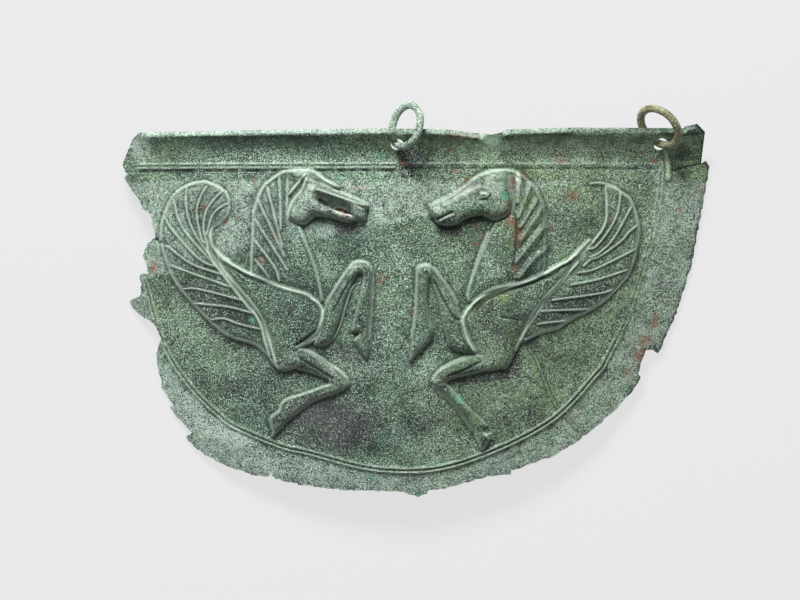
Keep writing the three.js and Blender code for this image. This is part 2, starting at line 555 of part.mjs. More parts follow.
// The sheet before it is trimmed. Its grid of right-angled triangles is halved only where
// the forms need it, and the back follows the front at the sheet's own thickness.
function hammeredSheet() {
  const grid = 2 ** Math.round(Math.log2(SQUARE / CELL));
  const n = grid + 1;
  const cell = SQUARE / grid;
  const heights = new Float64Array(n * n);
  const wanted = new Uint8Array(n * n);
  const px = (i) => i * cell - SQUARE / 2;
  for (let j = 0; j < n; j += 1) {
    for (let i = 0; i < n; i += 1) {
      const { gap, inside } = reach(outline, true, px(i), px(j));
      wanted[j * n + i] = inside || gap < CELL * 0.75 ? 1 : 0;
      heights[j * n + i] = front(px(i), px(j));
      if (wanted[j * n + i]) heights[j * n + i] += formsAt(px(i), px(j)) + linesAt(px(i), px(j));
    }
  }
  const errors = new Float64Array(n * n);
  const total = grid * grid * 2 - 2;
  const parents = total - grid * grid;
  for (let t = total - 1; t >= 0; t -= 1) {
    let id = t + 2;
    let [ax, ay, bx, by, cx, cy] = id & 1 ? [0, 0, grid, grid, grid, 0] : [grid, grid, 0, 0, 0, grid];
    id >>= 1;
    while (id > 1) {
      const hx = (ax + bx) >> 1;
      const hy = (ay + by) >> 1;
      if (id & 1) [bx, by, ax, ay] = [ax, ay, cx, cy];
      else [ax, ay, bx, by] = [bx, by, cx, cy];
      cx = hx;
      cy = hy;
      id >>= 1;
    }
    const mx = (ax + bx) >> 1;
    const my = (ay + by) >> 1;
    const middle = my * n + mx;
    const halfway = (heights[ay * n + ax] + heights[by * n + bx]) / 2;
    const miss = wanted[middle] ? Math.abs(halfway - heights[middle]) : 0;
    errors[middle] = Math.max(errors[middle], miss);
    if (t < parents) {
      const one = ((ay + cy) >> 1) * n + ((ax + cx) >> 1);
      const two = ((by + cy) >> 1) * n + ((bx + cx) >> 1);
      errors[middle] = Math.max(errors[middle], errors[one], errors[two]);
    }
  }
  const index = new Map();
  const tops = [];
  const faces = [];
  const point = (i, j) => {
    const key = j * n + i;
    if (!index.has(key)) {
      index.set(key, tops.length);
      tops.push([px(i), px(j), heights[key]]);
    }
    return index.get(key);
  };
  const halve = (ax, ay, bx, by, cx, cy) => {
    const mx = (ax + bx) >> 1;
    const my = (ay + by) >> 1;
    if (Math.abs(ax - cx) + Math.abs(ay - cy) > 1 && errors[my * n + mx] > STEP) {
      halve(cx, cy, ax, ay, mx, my);
      halve(bx, by, cx, cy, mx, my);
      return;
    }
    faces.push([point(ax, ay), point(cx, cy), point(bx, by)]);
  };
  halve(0, 0, grid, grid, grid, 0);
  halve(grid, grid, 0, 0, 0, grid);
  const cross = (f) => (tops[f[1]][0] - tops[f[0]][0]) * (tops[f[2]][1] - tops[f[0]][1])
    - (tops[f[2]][0] - tops[f[0]][0]) * (tops[f[1]][1] - tops[f[0]][1]);
  faces.forEach((f) => {
    if (cross(f) < 0) [f[1], f[2]] = [f[2], f[1]];
  });
  const count = tops.length;
  const verts = tops.flat();
  tops.forEach(([x, y, z]) => verts.push(x, y, z - SHEET * steepness(x, y)));
  const tris = [];
  const edges = new Set();
  faces.forEach(([a, b, c]) => {
    tris.push(a, b, c, c + count, b + count, a + count);
    edges.add(`${a},${b}`).add(`${b},${c}`).add(`${c},${a}`);
  });
  edges.forEach((key) => {
    const [a, b] = key.split(',').map(Number);
    if (edges.has(`${b},${a}`)) return;
    tris.push(a, a + count, b, b, a + count, b + count);
  });
  return new wasm.Manifold(new wasm.Mesh({
    numProp: 3,
    vertProperties: new Float32Array(verts),
    triVerts: new Uint32Array(tris),
  }));
}

function solidOf(geometry) {
  const bare = geometry.clone();
  bare.deleteAttribute('normal');
  bare.deleteAttribute('uv');
  const welded = mergeVertices(bare, 1e-4);
  return new wasm.Manifold(new wasm.Mesh({
    numProp: 3,
    vertProperties: new Float32Array(welded.attributes.position.array),
    triVerts: new Uint32Array(welded.index.array),
  }));
}

function geometryOf(solid) {
  const mesh = solid.getMesh();
  const geometry = new THREE.BufferGeometry();
  geometry.setAttribute('position', new THREE.BufferAttribute(new Float32Array(mesh.vertProperties), 3));
  geometry.setIndex(new THREE.BufferAttribute(new Uint32Array(mesh.triVerts), 1));
  return geometry;
}

// The ragged outline as a tall block, which trims the slab to the plate.
function outlineBlock() {
  const shape = new THREE.Shape(outline.map(([x, y]) => new THREE.Vector2(x, y)));
  const block = new THREE.ExtrudeGeometry(shape, { depth: WIDTH, bevelEnabled: false, curveSegments: 1 });
  block.translate(0, 0, -WIDTH / 2);
  return solidOf(block);
}

// The straight-up line of the sheet at a point, and a drill along it.
function normalAt(x, y) {
  const dx = front(x + 0.5, y) - front(x - 0.5, y);
  const dy = front(x, y + 0.5) - front(x, y - 0.5);
  return new THREE.Vector3(-dx, -dy, 1).normalize();
}

function drill(x, y, radius) {
  const tool = new THREE.CylinderGeometry(radius, radius, SHEET * 10, 20);
  const up = new THREE.Vector3(0, 1, 0);
  tool.applyQuaternion(new THREE.Quaternion().setFromUnitVectors(up, normalAt(x, y)));
  tool.translate(x, y, front(x, y) - SHEET / 2);
  return solidOf(tool);
}

// The open mouth of the left horse, cut through the sheet.
function mouthSlit() {
  const frame = LEFT_HORSE;
  const rows = [[0.755, 0.876], [0.80, 0.862], [0.85, 0.848], [0.90, 0.834], [0.90, 0.829],
    [0.85, 0.840], [0.80, 0.852], [0.755, 0.868]];
  const shape = new THREE.Shape(rows.map(([sx, sy]) => new THREE.Vector2(
    atX(frame.x - frame.side * frame.width * sx),
    atY(frame.y + frame.height * sy),
  )));
  const block = new THREE.ExtrudeGeometry(shape, { depth: WIDTH, bevelEnabled: false });
  block.translate(0, 0, -WIDTH / 2);
  return solidOf(block);
}

let plate = hammeredSheet().intersect(outlineBlock());
RINGS.forEach((ring) => {
  plate = plate.subtract(drill(atX(ring.x), atY(ring.y), ring.hole * SHEET));
});
plate = plate.subtract(mouthSlit());
[plate] = plate.decompose().sort((a, b) => b.volume() - a.volume());

const bronze = new THREE.MeshStandardMaterial({ color: 0x7d8478, metalness: 0.4, roughness: 0.8 });
const ringBronze = new THREE.MeshStandardMaterial({ color: 0x8f9478, metalness: 0.4, roughness: 0.8 });
const group = new THREE.Group();

function add(name, geometry, material) {
  geometry.computeVertexNormals();
  const mesh = new THREE.Mesh(geometry, material);
  mesh.name = name;
  group.add(mesh);
  return mesh;
}

add('plate', geometryOf(plate), bronze);

// Each ring lies through its hole and around the rim, one side before the plate, one behind it.
function ringGeometry(ring) {
  const radius = RING_RADIUS * ring.grow;
  const geometry = new THREE.TorusGeometry(radius, RING_WIRE, 9, 27);
  const level = new THREE.Vector3(Math.sin(rad(ring.turn)), Math.cos(rad(ring.turn)), 0);
  const side = new THREE.Vector3(level.y, -level.x, 0);
  const long = level.clone().multiplyScalar(Math.cos(rad(ring.pitch)));
  long.z = Math.sin(rad(ring.pitch));
  const across = side.applyAxisAngle(long, -rad(ring.roll));
  const axis = new THREE.Vector3().crossVectors(across, long);
  const pose = new THREE.Matrix4().makeBasis(across, long, axis);
  const hole = new THREE.Vector3(atX(ring.x), atY(ring.y), 0);
  hole.z = front(hole.x, hole.y) + (ring.lift - 0.5) * SHEET;
  pose.setPosition(hole.addScaledVector(long, radius));
  geometry.applyMatrix4(pose);
  return geometry;
}

RINGS.forEach((ring) => add(ring.name, ringGeometry(ring), ringBronze));

// Put the middle of the whole part over the origin, with its lowest point on the floor.
const box = new THREE.Box3().setFromObject(group);
const middle = box.getCenter(new THREE.Vector3());
group.children.forEach((mesh) => mesh.geometry.translate(-middle.x, -middle.y, -box.min.z));

export default group;
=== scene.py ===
import itertools
import math

import bmesh
import bpy
import numpy as np
from mathutils import Matrix, Vector
from mathutils.noise import fractal


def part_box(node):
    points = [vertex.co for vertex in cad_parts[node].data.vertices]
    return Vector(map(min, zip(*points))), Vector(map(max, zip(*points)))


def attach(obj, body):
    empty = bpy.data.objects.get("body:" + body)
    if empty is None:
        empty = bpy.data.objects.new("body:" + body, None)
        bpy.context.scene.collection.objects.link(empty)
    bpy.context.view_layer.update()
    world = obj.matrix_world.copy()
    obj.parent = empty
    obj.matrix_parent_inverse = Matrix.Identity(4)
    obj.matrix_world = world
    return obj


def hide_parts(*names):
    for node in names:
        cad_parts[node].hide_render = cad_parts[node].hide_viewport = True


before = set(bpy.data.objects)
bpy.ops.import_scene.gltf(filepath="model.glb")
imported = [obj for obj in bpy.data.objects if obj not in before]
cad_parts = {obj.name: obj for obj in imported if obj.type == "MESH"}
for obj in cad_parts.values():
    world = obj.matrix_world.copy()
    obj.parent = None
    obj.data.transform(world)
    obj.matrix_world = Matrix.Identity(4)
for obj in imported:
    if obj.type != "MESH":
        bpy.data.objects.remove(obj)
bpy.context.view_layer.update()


# The sheet itself: one piece of bronze about a millimetre thick, hammered over a bend to fit
# the belly, flared out to a lip along the rim and broken away along its curved edge.
# Everything raised on it is beaten out of the same metal. Lengths here are in mm.

WIDTH = 246.8
DEPTH = 155.9
SHEET = 1.15
BEND_RADIUS = 236.0
BEND_X = -1.0
BELLY_DROP = 15.0
FLARE = 8.2
FLARE_FROM = 0.912
BELLY_FROM = 0.88
BAND = 16.0
BORDER = {"x": -0.0428, "y": 0.8874, "half": WIDTH / 2 - BAND * 0.731,
          "depth": DEPTH - BAND * 1.919, "power": 2.2}

# The broken edge: the turn around the border's oval in degrees, and how far outside the oval
# in thousandths of a band.
EDGE = [
    (178.55, 73), (-179.54, -46), (-178.71, 7), (-177.62, -18), (-173.01, -363), (-171.14, -425),
    (-169.72, -621), (-164.16, -687), (-163.5, -455), (-162.13, -320), (-160.91, -267),
    (-157.74, -302), (-156.82, -270), (-157.64, -145), (-157.51, -56), (-155.49, -22),
    (-153.56, 85), (-153.55, 399), (-153.17, 427), (-151.93, 391), (-149.95, 249), (-147.6, 28),
    (-145.43, 19), (-143.87, 35), (-142.15, 320), (-140.4, 482), (-138.24, 570), (-136.47, 722),
    (-132.75, 782), (-133.19, 850), (-131.56, 884), (-127.2, 924), (-127.69, 1087),
    (-126.68, 1150), (-124.44, 1162), (-121.76, 1109), (-118.77, 1053), (-115.22, 957),
    (-111.82, 829), (-111.87, 747), (-110.48, 775), (-106.22, 721), (-97.82, 612), (-87.92, 581),
    (-86.94, 678), (-85.08, 740), (-83.7, 683), (-83.25, 603), (-80.34, 602), (-72.3, 558),
    (-68.55, 704), (-68.15, 636), (-60.27, 806), (-56.81, 858), (-49.78, 955), (-49.14, 897),
    (-47.1, 973), (-43.75, 1004), (-40.37, 1027), (-39.66, 989), (-39.46, 893), (-35.19, 751),
    (-34.46, 864), (-34.32, 1095), (-26.32, 1111), (-17.18, 1155), (0.79, 1393),
]

# The rim, in plain shares: across the width, and how far below the lip in bands.
RIM = [
    (0.4938, 0.822), (0.4856, 0.895), (0.4912, 0.076), (0.4771, -0.134), (0.4558, -0.058),
    (0.4551, -0.016), (0.2705, -0.016), (0.1526, 0.042), (0.1432, 0.126), (0.1267, 0.184),
    (0.0491, 0.042), (-0.0496, 0.021), (-0.4705, 0.089), (-0.4824, 0.270),
]


def at_x(share):
    return share * WIDTH


def at_y(share):
    return (share - 0.5) * DEPTH


def around_oval(rows):
    # Points around the border's oval, from their turns and how far out they lie.
    points = []
    for turn, out in rows:
        c, s = math.cos(math.radians(turn)), math.sin(math.radians(turn))
        a, b, p = BORDER["half"], BORDER["depth"], BORDER["power"]
        r = (abs(c / a) ** p + abs(s / b) ** p) ** (-1 / p) + out / 1000 * BAND
        points.append((at_x(BORDER["x"]) + r * c, at_y(BORDER["y"]) + r * s))
    return points


def gap_to(run, x, y, closed):
    # Distance from each point to a run of straight pieces, and whether a closed run holds it.
    best = np.full(x.shape, 1e9)
    inside = np.zeros(x.shape, bool)
    start = np.roll(run, 1, axis=0) if closed else run[:-1]
    end = run if closed else run[1:]
    for (ax, ay), (bx, by) in zip(start, end):
        dx, dy = bx - ax, by - ay
        t = np.clip(((x - ax) * dx + (y - ay) * dy) / (dx * dx + dy * dy + 1e-12), 0, 1)
        best = np.minimum(best, (x - ax - t * dx) ** 2 + (y - ay - t * dy) ** 2)
        if closed and ay != by:
            inside ^= ((ay > y) != (by > y)) & (x < ax + dx * (y - ay) / dy)
    return np.sqrt(best), inside


rim_run = np.array([(at_x(across), at_y(1) - below * BAND) for across, below in RIM])
outline = np.vstack([around_oval(EDGE), rim_run])


def plain(x, y):
    # The sheet without its relief: bent around the body, flared out to the lip.
    z = np.sqrt(BEND_RADIUS ** 2 - (x - BEND_X) ** 2) - BEND_RADIUS
    z = z - BELLY_DROP * (np.maximum(0, at_y(BELLY_FROM) - y) / (DEPTH * BELLY_FROM)) ** 2
    up = np.clip((y - at_y(FLARE_FROM)) / (DEPTH * 0.088), 0, 1.1)
    left = np.clip((x + WIDTH * 0.475) / (WIDTH * 0.02), 0.15, 1)
    return z + FLARE * up ** 1.8 * left


def steepness(x, y):
    dx = plain(x + 0.5, y) - plain(x - 0.5, y)
    dy = plain(x, y + 0.5) - plain(x, y - 0.5)
    return np.sqrt(1 + dx * dx + dy * dy)


def rest_plane():
    # The plane through the three edge points that the plate lies on: they stand around the
    # middle of its area, and no point of the edge is below their plane.
    x, y = outline[:, 0], outline[:, 1]
    z = plain(x, y) - SHEET * steepness(x, y)
    nx, ny = np.roll(x, -1), np.roll(y, -1)
    cross = x * ny - nx * y
    middle = ((x + nx) @ cross / cross.sum() / 3, (y + ny) @ cross / cross.sum() / 3, 1)
    points = np.stack([x, y, np.ones(len(x))], 1)
    trios = np.array(list(itertools.combinations(range(len(x)), 3)))
    trios = trios[np.abs(np.linalg.det(points[trios])) > 1]
    middles = np.tile(middle, (len(trios), 1))[..., None]
    around = np.linalg.solve(points[trios].transpose(0, 2, 1), middles)
    for trio in trios[(around >= 0).all((1, 2))]:
        plane = np.linalg.solve(points[trio], z[trio])
        if (z >= points @ plane - 1e-6).all():
            return plane


tilt_x, tilt_y, floor_z = rest_plane()


def front(x, y):
    return plain(x, y) - (floor_z + tilt_x * x + tilt_y * y)


# The relief on the sheet: two winged horses beaten up from the back and chased from the
# front, a twin ridge along the curved border, and a double roll with a lip along the rim.

RELIEF = 5.8
LEFT_HORSE = {"side": -1, "x": -0.4342, "y": 0.1681, "width": 0.3608, "height": 0.722}
RIGHT_HORSE = {"side": 1, "x": 0.3792, "y": 0.1331, "width": 0.3914, "height": 0.757}

# The line of the border's twin ridge: the turn around its oval, and how far out.
BORDER_LINE = [
    (1.69, 146), (-11.59, 5), (-30.2, -97), (-40.47, -45), (-45.1, -27), (-58.72, -7),
    (-77.93, 24), (-92.11, 1), (-106.51, -159), (-111.62, -79), (-121.08, 71), (-124.76, 94),
    (-133.36, 92), (-142.87, 31), (-156.14, -151),
]

# Beaten forms in each horse's own frame: how far they rise as a share of the relief, the
# width of their shoulder, then their closed outline, by turns across and up in thousandths.
LEFT_FORMS = [
    ("wing", 0.22, 1.6,
     [241, 780, 316, 828, 316, 907, 245, 946, 184, 955, 90, 925, 14, 828, 0, 757, 28, 653, 146,
     504, 321, 382, 458, 343, 557, 257, 448, 481, 307, 619, 250, 694, 238, 746]),
    ("shoulder", 0.46, 7,
     [241, 776, 259, 701, 325, 657, 514, 582, 689, 537, 750, 500, 764, 459, 750, 403, 693, 354,
     642, 332, 656, 291, 632, 259, 552, 261, 491, 422, 259, 679]),
    ("neck", 0.4, 6,
     [429, 616, 458, 899, 561, 985, 656, 1000, 712, 993, 618, 873, 604, 817, 646, 797, 670, 776,
     731, 634, 764, 507, 689, 537, 514, 582]),
    ("head", 0.86, 5,
     [679, 978, 750, 951, 939, 888, 976, 866, 972, 843, 962, 806, 920, 813, 901, 802, 868, 802,
     797, 817, 717, 821, 675, 797, 604, 817, 618, 873, 665, 925]),
    ("crown", 0.5, 3,
     [599, 996, 703, 998, 774, 970, 854, 933, 797, 929, 741, 948, 618, 963]),
    ("raised thigh", 0.5, 4,
     [778, 500, 892, 642, 958, 660, 981, 649, 1000, 616, 967, 590, 934, 612, 877, 526, 849, 448,
     797, 358, 722, 347, 750, 403]),
    ("raised shin", 0.42, 2.4,
     [929, 657, 995, 634, 986, 422, 976, 302, 962, 299, 910, 362, 934, 388, 910, 396, 899, 410,
     953, 597]),
    ("rear shank", 0.24, 1.4,
     [925, 575, 901, 541, 844, 403, 788, 347, 717, 343, 797, 362, 835, 410, 863, 485, 892, 556]),
    ("lower thigh", 0.46, 4,
     [637, 325, 679, 334, 783, 280, 844, 254, 882, 224, 889, 194, 849, 175, 797, 201, 769, 224,
     632, 259, 552, 261]),
    ("lower shin", 0.36, 2.6,
     [849, 175, 722, 134, 608, 67, 561, 26, 524, 0, 524, 37, 519, 78, 557, 104, 566, 127, 599, 149,
     854, 216]),
]
RIGHT_FORMS = [
    ("wing", 0.22, 1.6,
     [150, 940, 146, 893, 150, 833, 174, 783, 213, 744, 343, 601, 404, 548, 526, 388, 430, 420,
     361, 434, 300, 466, 170, 523, 117, 566, 35, 651, 13, 715, 2, 794, 33, 886, 74, 918, 117, 938]),
    ("shoulder", 0.46, 7,
     [217, 751, 265, 708, 439, 623, 661, 562, 735, 516, 765, 448, 687, 320, 674, 285, 604, 292,
     565, 306, 491, 441, 430, 523, 343, 601]),
    ("neck", 0.4, 6,
     [583, 1000, 522, 989, 470, 950, 430, 904, 413, 840, 413, 644, 474, 609, 661, 562, 739, 527,
     748, 573, 696, 687, 622, 822, 574, 843, 552, 879, 574, 972]),
    ("head", 0.8, 5,
     [604, 1000, 683, 989, 822, 907, 900, 877, 913, 854, 891, 815, 865, 801, 800, 801, 743, 826,
     674, 836, 622, 822, 557, 861, 574, 975]),
    ("raised thigh", 0.5, 4,
     [965, 644, 930, 664, 887, 646, 791, 527, 757, 420, 713, 352, 813, 363, 843, 409, 874, 527,
     909, 609, 943, 623]),
    ("raised shin", 0.42, 2.4,
     [965, 644, 909, 651, 920, 555, 913, 484, 896, 413, 965, 342, 1000, 327, 974, 502]),
    ("lower thigh", 0.46, 4,
     [704, 345, 865, 292, 896, 235, 839, 238, 813, 256, 674, 285, 648, 317]),
    ("lower shin", 0.36, 2.6,
     [900, 260, 896, 235, 804, 164, 730, 75, 687, 0, 648, 43, 678, 75, 661, 96, 752, 167, 835,
      242]),
    ("raised hoof", 0.4, 2,
     [1000, 335, 991, 377, 965, 406, 930, 420, 900, 413, 909, 388, 943, 367, 983, 338]),
]

# Chased lines in the same frame: their rise or depth, half their width, then their runs.
LEFT_LINES = [
    ("feather", 0.12, 0.75,
     [321, 873, 288, 862, 245, 828, 217, 757], [295, 922, 245, 881, 212, 836, 205, 776, 219, 728],
     [217, 937, 184, 888, 172, 832, 193, 746, 212, 724], [123, 933, 120, 881, 132, 821, 160, 765,
     229, 683], [61, 888, 108, 780, 269, 634], [19, 825, 52, 780, 151, 690, 212, 653, 269, 638],
     [9, 731, 142, 651, 297, 608], [42, 644, 330, 563], [108, 556, 175, 556, 382, 515], [146, 504,
     321, 489, 448, 463], [231, 440, 297, 446, 373, 425, 467, 407]),
    ("wing rim", 0.11, 0.9,
     [241, 780, 316, 828, 316, 907, 245, 946, 184, 955, 90, 925, 35, 869, 0, 757, 61, 597, 203,
     459, 321, 382, 458, 343, 557, 257]),
    ("spine", 0.14, 1,
     [219, 728, 245, 664, 406, 496, 439, 470, 472, 425, 491, 366, 514, 306], [274, 664, 307, 619,
     472, 455, 542, 284]),
    ("leading edge", 0.22, 1.3,
     [241, 776, 238, 746, 259, 701, 373, 632, 561, 567, 689, 537, 717, 519, 750, 500, 764, 459,
     726, 373, 642, 336]),
    ("leading edge", -0.08, 0.8,
     [278, 660, 448, 586, 514, 575, 632, 545]),
    ("chest", -0.08, 0.8,
     [642, 347, 736, 403]),
    ("lock", 0.11, 0.85,
     [599, 963, 599, 888, 594, 832], [561, 970, 566, 888, 568, 776], [505, 933, 575, 713], [462,
     884, 585, 679], [448, 813, 599, 627], [436, 746, 538, 638, 561, 586], [448, 664, 476, 638,
     514, 597]),
    ("cheek", 0.14, 0.9,
     [717, 821, 675, 797, 604, 817, 618, 873, 665, 925, 689, 963]),
    ("brow", 0.13, 0.9,
     [741, 925, 958, 866]),
    ("mouth", -0.1, 1.3,
     [750, 877, 901, 828]),
    ("eye", -0.1, 1.3,
     [741, 914, 755, 896, 774, 877]),
    ("ear", 0.16, 1,
     [684, 981, 646, 944, 608, 907]),
    ("thigh fold", -0.1, 0.8,
     [887, 582, 816, 474], [632, 310, 811, 224]),
    ("forelock", 0.12, 1.2,
     [439, 843, 481, 929, 561, 983, 613, 994, 717, 994, 778, 961, 849, 925]),
    ("mane edge", 0.1, 1,
     [427, 619, 439, 843]),
    ("nose", 0.1, 1.1,
     [755, 948, 948, 882, 976, 866]),
    ("neck edge", 0.09, 1.1,
     [656, 784, 731, 634, 764, 515]),
    ("cheek hollow", -0.16, 3.6,
     [750, 903, 887, 858]),
    ("mouth", -0.34, 1.3,
     [750, 884, 811, 856, 892, 835]),
    ("lower lip", 0.12, 1.3,
     [802, 847, 920, 813]),
    ("jaw", -0.14, 1,
     [613, 812, 670, 793, 759, 823, 840, 806]),
    ("nostril", -0.14, 1,
     [934, 869, 953, 858]),
    ("leg edge", 0.08, 1,
     [778, 504, 892, 642, 958, 659, 991, 638, 1000, 582, 983, 366], [646, 328, 684, 334, 844, 254,
     882, 224], [797, 201, 665, 164, 599, 149, 566, 127, 557, 104, 519, 78, 524, 37]),
]
RIGHT_LINES = [
    ("feather", 0.12, 0.75,
     [148, 940, 148, 815, 204, 740], [83, 922, 96, 847, 135, 783, 191, 726, 222, 719], [35, 868,
     117, 751, 183, 701, 217, 690], [9, 804, 48, 776, 83, 744, 170, 694, 213, 680, 243, 658], [13,
     719, 191, 648, 270, 633], [52, 644, 187, 609, 300, 591], [117, 573, 183, 559, 378, 537], [213,
     505, 300, 502, 426, 498], [313, 463, 378, 459, 443, 452]),
    ("wing rim", 0.11, 0.9,
     [213, 950, 170, 952, 117, 940, 74, 918, 33, 886, 2, 794, 13, 715, 35, 651, 74, 601, 170, 523,
     300, 466, 361, 434, 430, 420, 496, 395]),
    ("spine", 0.14, 1,
     [213, 751, 343, 601, 452, 498, 539, 359], [270, 669, 417, 541]),
    ("leading edge", 0.24, 1.5,
     [217, 751, 313, 676, 343, 665, 474, 609, 635, 573, 713, 534, 765, 480, 765, 448, 743, 395,
     713, 352]),
    ("leading edge", -0.08, 0.8,
     [300, 673, 343, 651, 387, 623, 648, 544, 704, 505]),
    ("lock", 0.17, 2.1,
     [478, 943, 526, 833], [448, 893, 483, 843, 517, 797], [426, 861, 465, 815, 517, 751], [417,
     794, 470, 744, 539, 673], [409, 715, 465, 680, 526, 616], [522, 979, 526, 929, 530, 883]),
    ("mane edge", -0.07, 0.9,
     [561, 875, 535, 804, 548, 662]),
    ("cheek", 0.1, 0.9,
     [674, 836, 622, 822, 557, 861, 570, 950]),
    ("mouth", -0.14, 0.9,
     [874, 822, 843, 833, 813, 843]),
    ("brow", 0.05, 1.6,
     [700, 936, 848, 879]),
    ("eye", 0.16, 1.2,
     [687, 911, 674, 913, 661, 907]),
    ("eye", -0.12, 0.8,
     [700, 897, 674, 893, 648, 904]),
    ("thigh fold", -0.12, 0.9,
     [887, 598, 813, 484, 774, 466]),
    ("thigh fold", -0.1, 0.8,
     [830, 270, 774, 285, 687, 320]),
    ("crown", 0.06, 1.1,
     [743, 950, 713, 972, 630, 996, 548, 993, 478, 954, 443, 918, 413, 836, 413, 651]),
    ("nose", 0.05, 1.1,
     [909, 875, 822, 907, 743, 950]),
    ("neck edge", 0.08, 1.2,
     [657, 776, 691, 708, 743, 573, 739, 534]),
    ("mouth", -0.16, 1,
     [891, 822, 865, 826, 813, 847]),
    ("lower lip", 0.08, 1,
     [865, 817, 839, 831, 809, 840]),
    ("jaw", -0.14, 1.1,
     [900, 819, 874, 801, 839, 790, 800, 797, 770, 817, 730, 826, 674, 831, 630, 820, 596, 826,
     565, 847]),
    ("eyelid", 0.1, 0.8,
     [704, 897, 678, 900, 652, 899]),
    ("leg edge", 0.08, 1,
     [991, 406, 974, 502, 965, 644, 948, 658, 926, 662, 891, 648, 852, 609, 817, 569, 791, 527],
     [704, 345, 752, 338, 813, 317, 865, 292, 896, 263], [896, 231, 804, 162, 730, 75]),
]

# Cracks, scores and a fold near the corner, in the frame of the whole sheet.
WHOLE_SHEET = {"side": -1, "x": 0, "y": 0, "width": 1, "height": 1}
MARKS = [
    ("edge crack", -0.3, 0.75,
     [-445, 705, -438, 702, -431, 693, -424, 688]),
    ("crack fork", -0.16, 0.5,
     [-431, 693, -427, 700]),
    ("shoulder crack", -0.12, 0.5,
     [143, 494, 156, 491, 173, 487]),
    ("shoulder crack", -0.1, 0.4,
     [107, 462, 119, 460]),
    ("corner score", -0.12, 0.6,
     [435, 887, 449, 894, 466, 901, 485, 909]),
    ("corner fold", 0.1, 1.4,
     [423, 939, 427, 917, 429, 890, 429, 869]),
    ("corner seam", -0.1, 0.6,
     [415, 987, 435, 986, 456, 984, 473, 988, 488, 993]),
    ("pale vein", 0.035, 0.55,
     [189, 416, 206, 373, 224, 297, 241, 249, 272, 195]),
    ("short scratch", 0.08, 0.5,
     [442, 812, 451, 823]),
]

# Dents: thousandths across and up the sheet, half width and half height in tenths of a mm,
# height in hundredths of a mm, and for some a turn in degrees.
DENTS = [
    (454, 930, 42, 29, -110, -20), (-300, 642, 29, 21, -50), (-359, 346, 59, 42, -50),
    (245, 324, 92, 67, -50), (-198, 270, 84, 42, -40, 20), (-36, 715, 76, 59, 35),
    (92, 971, 59, 25, -30), (-470, 944, 42, 67, -50), (406, 702, 34, 109, 40, -8),
    (313, 203, 50, 34, 40, 30), (-317, 163, 92, 34, 50, -15), (-147, 76, 126, 29, 35),
    (-436, 796, 42, 59, -40), (126, 217, 84, 59, -40), (-96, 136, 67, 42, -45),
    (24, 419, 42, 34, -35),
]

# The moulding under the lip, worn faint to the right of the middle ring: height in the
# depth, rise, half width, and where it begins and ends across.
ROLLS = [
    ("upper roll", 0.9044, 0.16, 0.85, 0.020, 0.472),
    ("lower roll", 0.8940, 0.12, 0.75, 0.020, 0.472),
    ("sunk line", 0.8856, -0.09, 0.75, 0.020, 0.472),
    ("worn roll", 0.9040, 0.08, 0.80, 0.472, 0.915),
    ("worn line", 0.8925, -0.09, 0.70, 0.472, 0.915),
]
# The lip: how deep it folds outward from the rim, how steeply, and where it ends.
LIP = {"deep": 2.0, "fall": 1.35, "ends": (0.032, 0.975)}
LIP_BREAK = (0.6127, 0.6436)
TWIN_APART = 0.85
TWIN_RISE = 0.14
HAMMERED = 0.16


def smooth_run(points, closed):
    # A smooth curve through a row's points.
    steps = 7
    p = np.array(points, float)
    if closed:
        a, b, c, d = np.roll(p, 1, 0), p, np.roll(p, -1, 0), np.roll(p, -2, 0)
    else:
        q = np.vstack([2 * p[0] - p[1], p, 2 * p[-1] - p[-2]])
        a, b, c, d = q[:-3], q[1:-2], q[2:-1], q[3:]
    t = (np.arange(steps) / steps)[None, :, None]
    a, b, c, d = (k[:, None, :] for k in (a, b, c, d))
    run = 0.5 * (2 * b + (c - a) * t + (2 * a - 5 * b + 4 * c - d) * t * t
                 + (3 * b - a - 3 * c + d) * t ** 3)
    run = run.reshape(-1, 2)
    return run if closed else np.vstack([run, p[-1:]])


def placed(rows, frame_of, closed):
    # Every run of a table as a smooth curve on the sheet, with its rise and its width.
    curves = []
    for name, rise, wide, *runs in rows:
        for run in runs:
            across, up = np.reshape(run, (-1, 2)).T / 1000
            x = at_x(frame_of["x"] - frame_of["side"] * frame_of["width"] * across)
            y = at_y(frame_of["y"] + frame_of["height"] * up)
            curves.append((rise, wide, smooth_run(np.stack([x, y], 1), closed)))
    return curves


forms = placed(LEFT_FORMS, LEFT_HORSE, True) + placed(RIGHT_FORMS, RIGHT_HORSE, True)
lines = (placed(LEFT_LINES, LEFT_HORSE, False) + placed(RIGHT_LINES, RIGHT_HORSE, False)
         + placed(MARKS, WHOLE_SHEET, False))
border_run = smooth_run(around_oval(BORDER_LINE), False)


def near_run(run, x, y, reach):
    low, high = run.min(0) - reach, run.max(0) + reach
    return np.flatnonzero((x > low[0]) & (x < high[0]) & (y > low[1]) & (y < high[1]))


def patch(x, y, across, up, wide, high, amount, turn=0):
    # An oval patch from a table's row: all of it in the middle, and none well outside.
    c, s = math.cos(math.radians(turn)), math.sin(math.radians(turn))
    dx, dy = x - at_x(across / 1000), y - at_y(up / 1000)
    far = np.hypot((dx * c + dy * s) / (wide / 10), (dy * c - dx * s) / (high / 10))
    t = np.clip(1.5 - far, 0, 1)
    return amount / 100 * (t * t * (3 - 2 * t))


def bump(gap, half):
    return np.where(gap < half, (1 - np.minimum(gap / half, 1) ** 2) ** 2, 0)


def at_least(layer, k, amount):
    layer[k] = np.maximum(layer[k], amount)


def on_lip(share, gap):
    # 1 where the rim still has its folded lip, 0 at the broken ends and in the filled gap.
    whole = (share > LIP["ends"][0]) & (share < LIP["ends"][1])
    return whole & ((share < LIP_BREAK[0]) | (share > LIP_BREAK[1])) & (gap < 6)


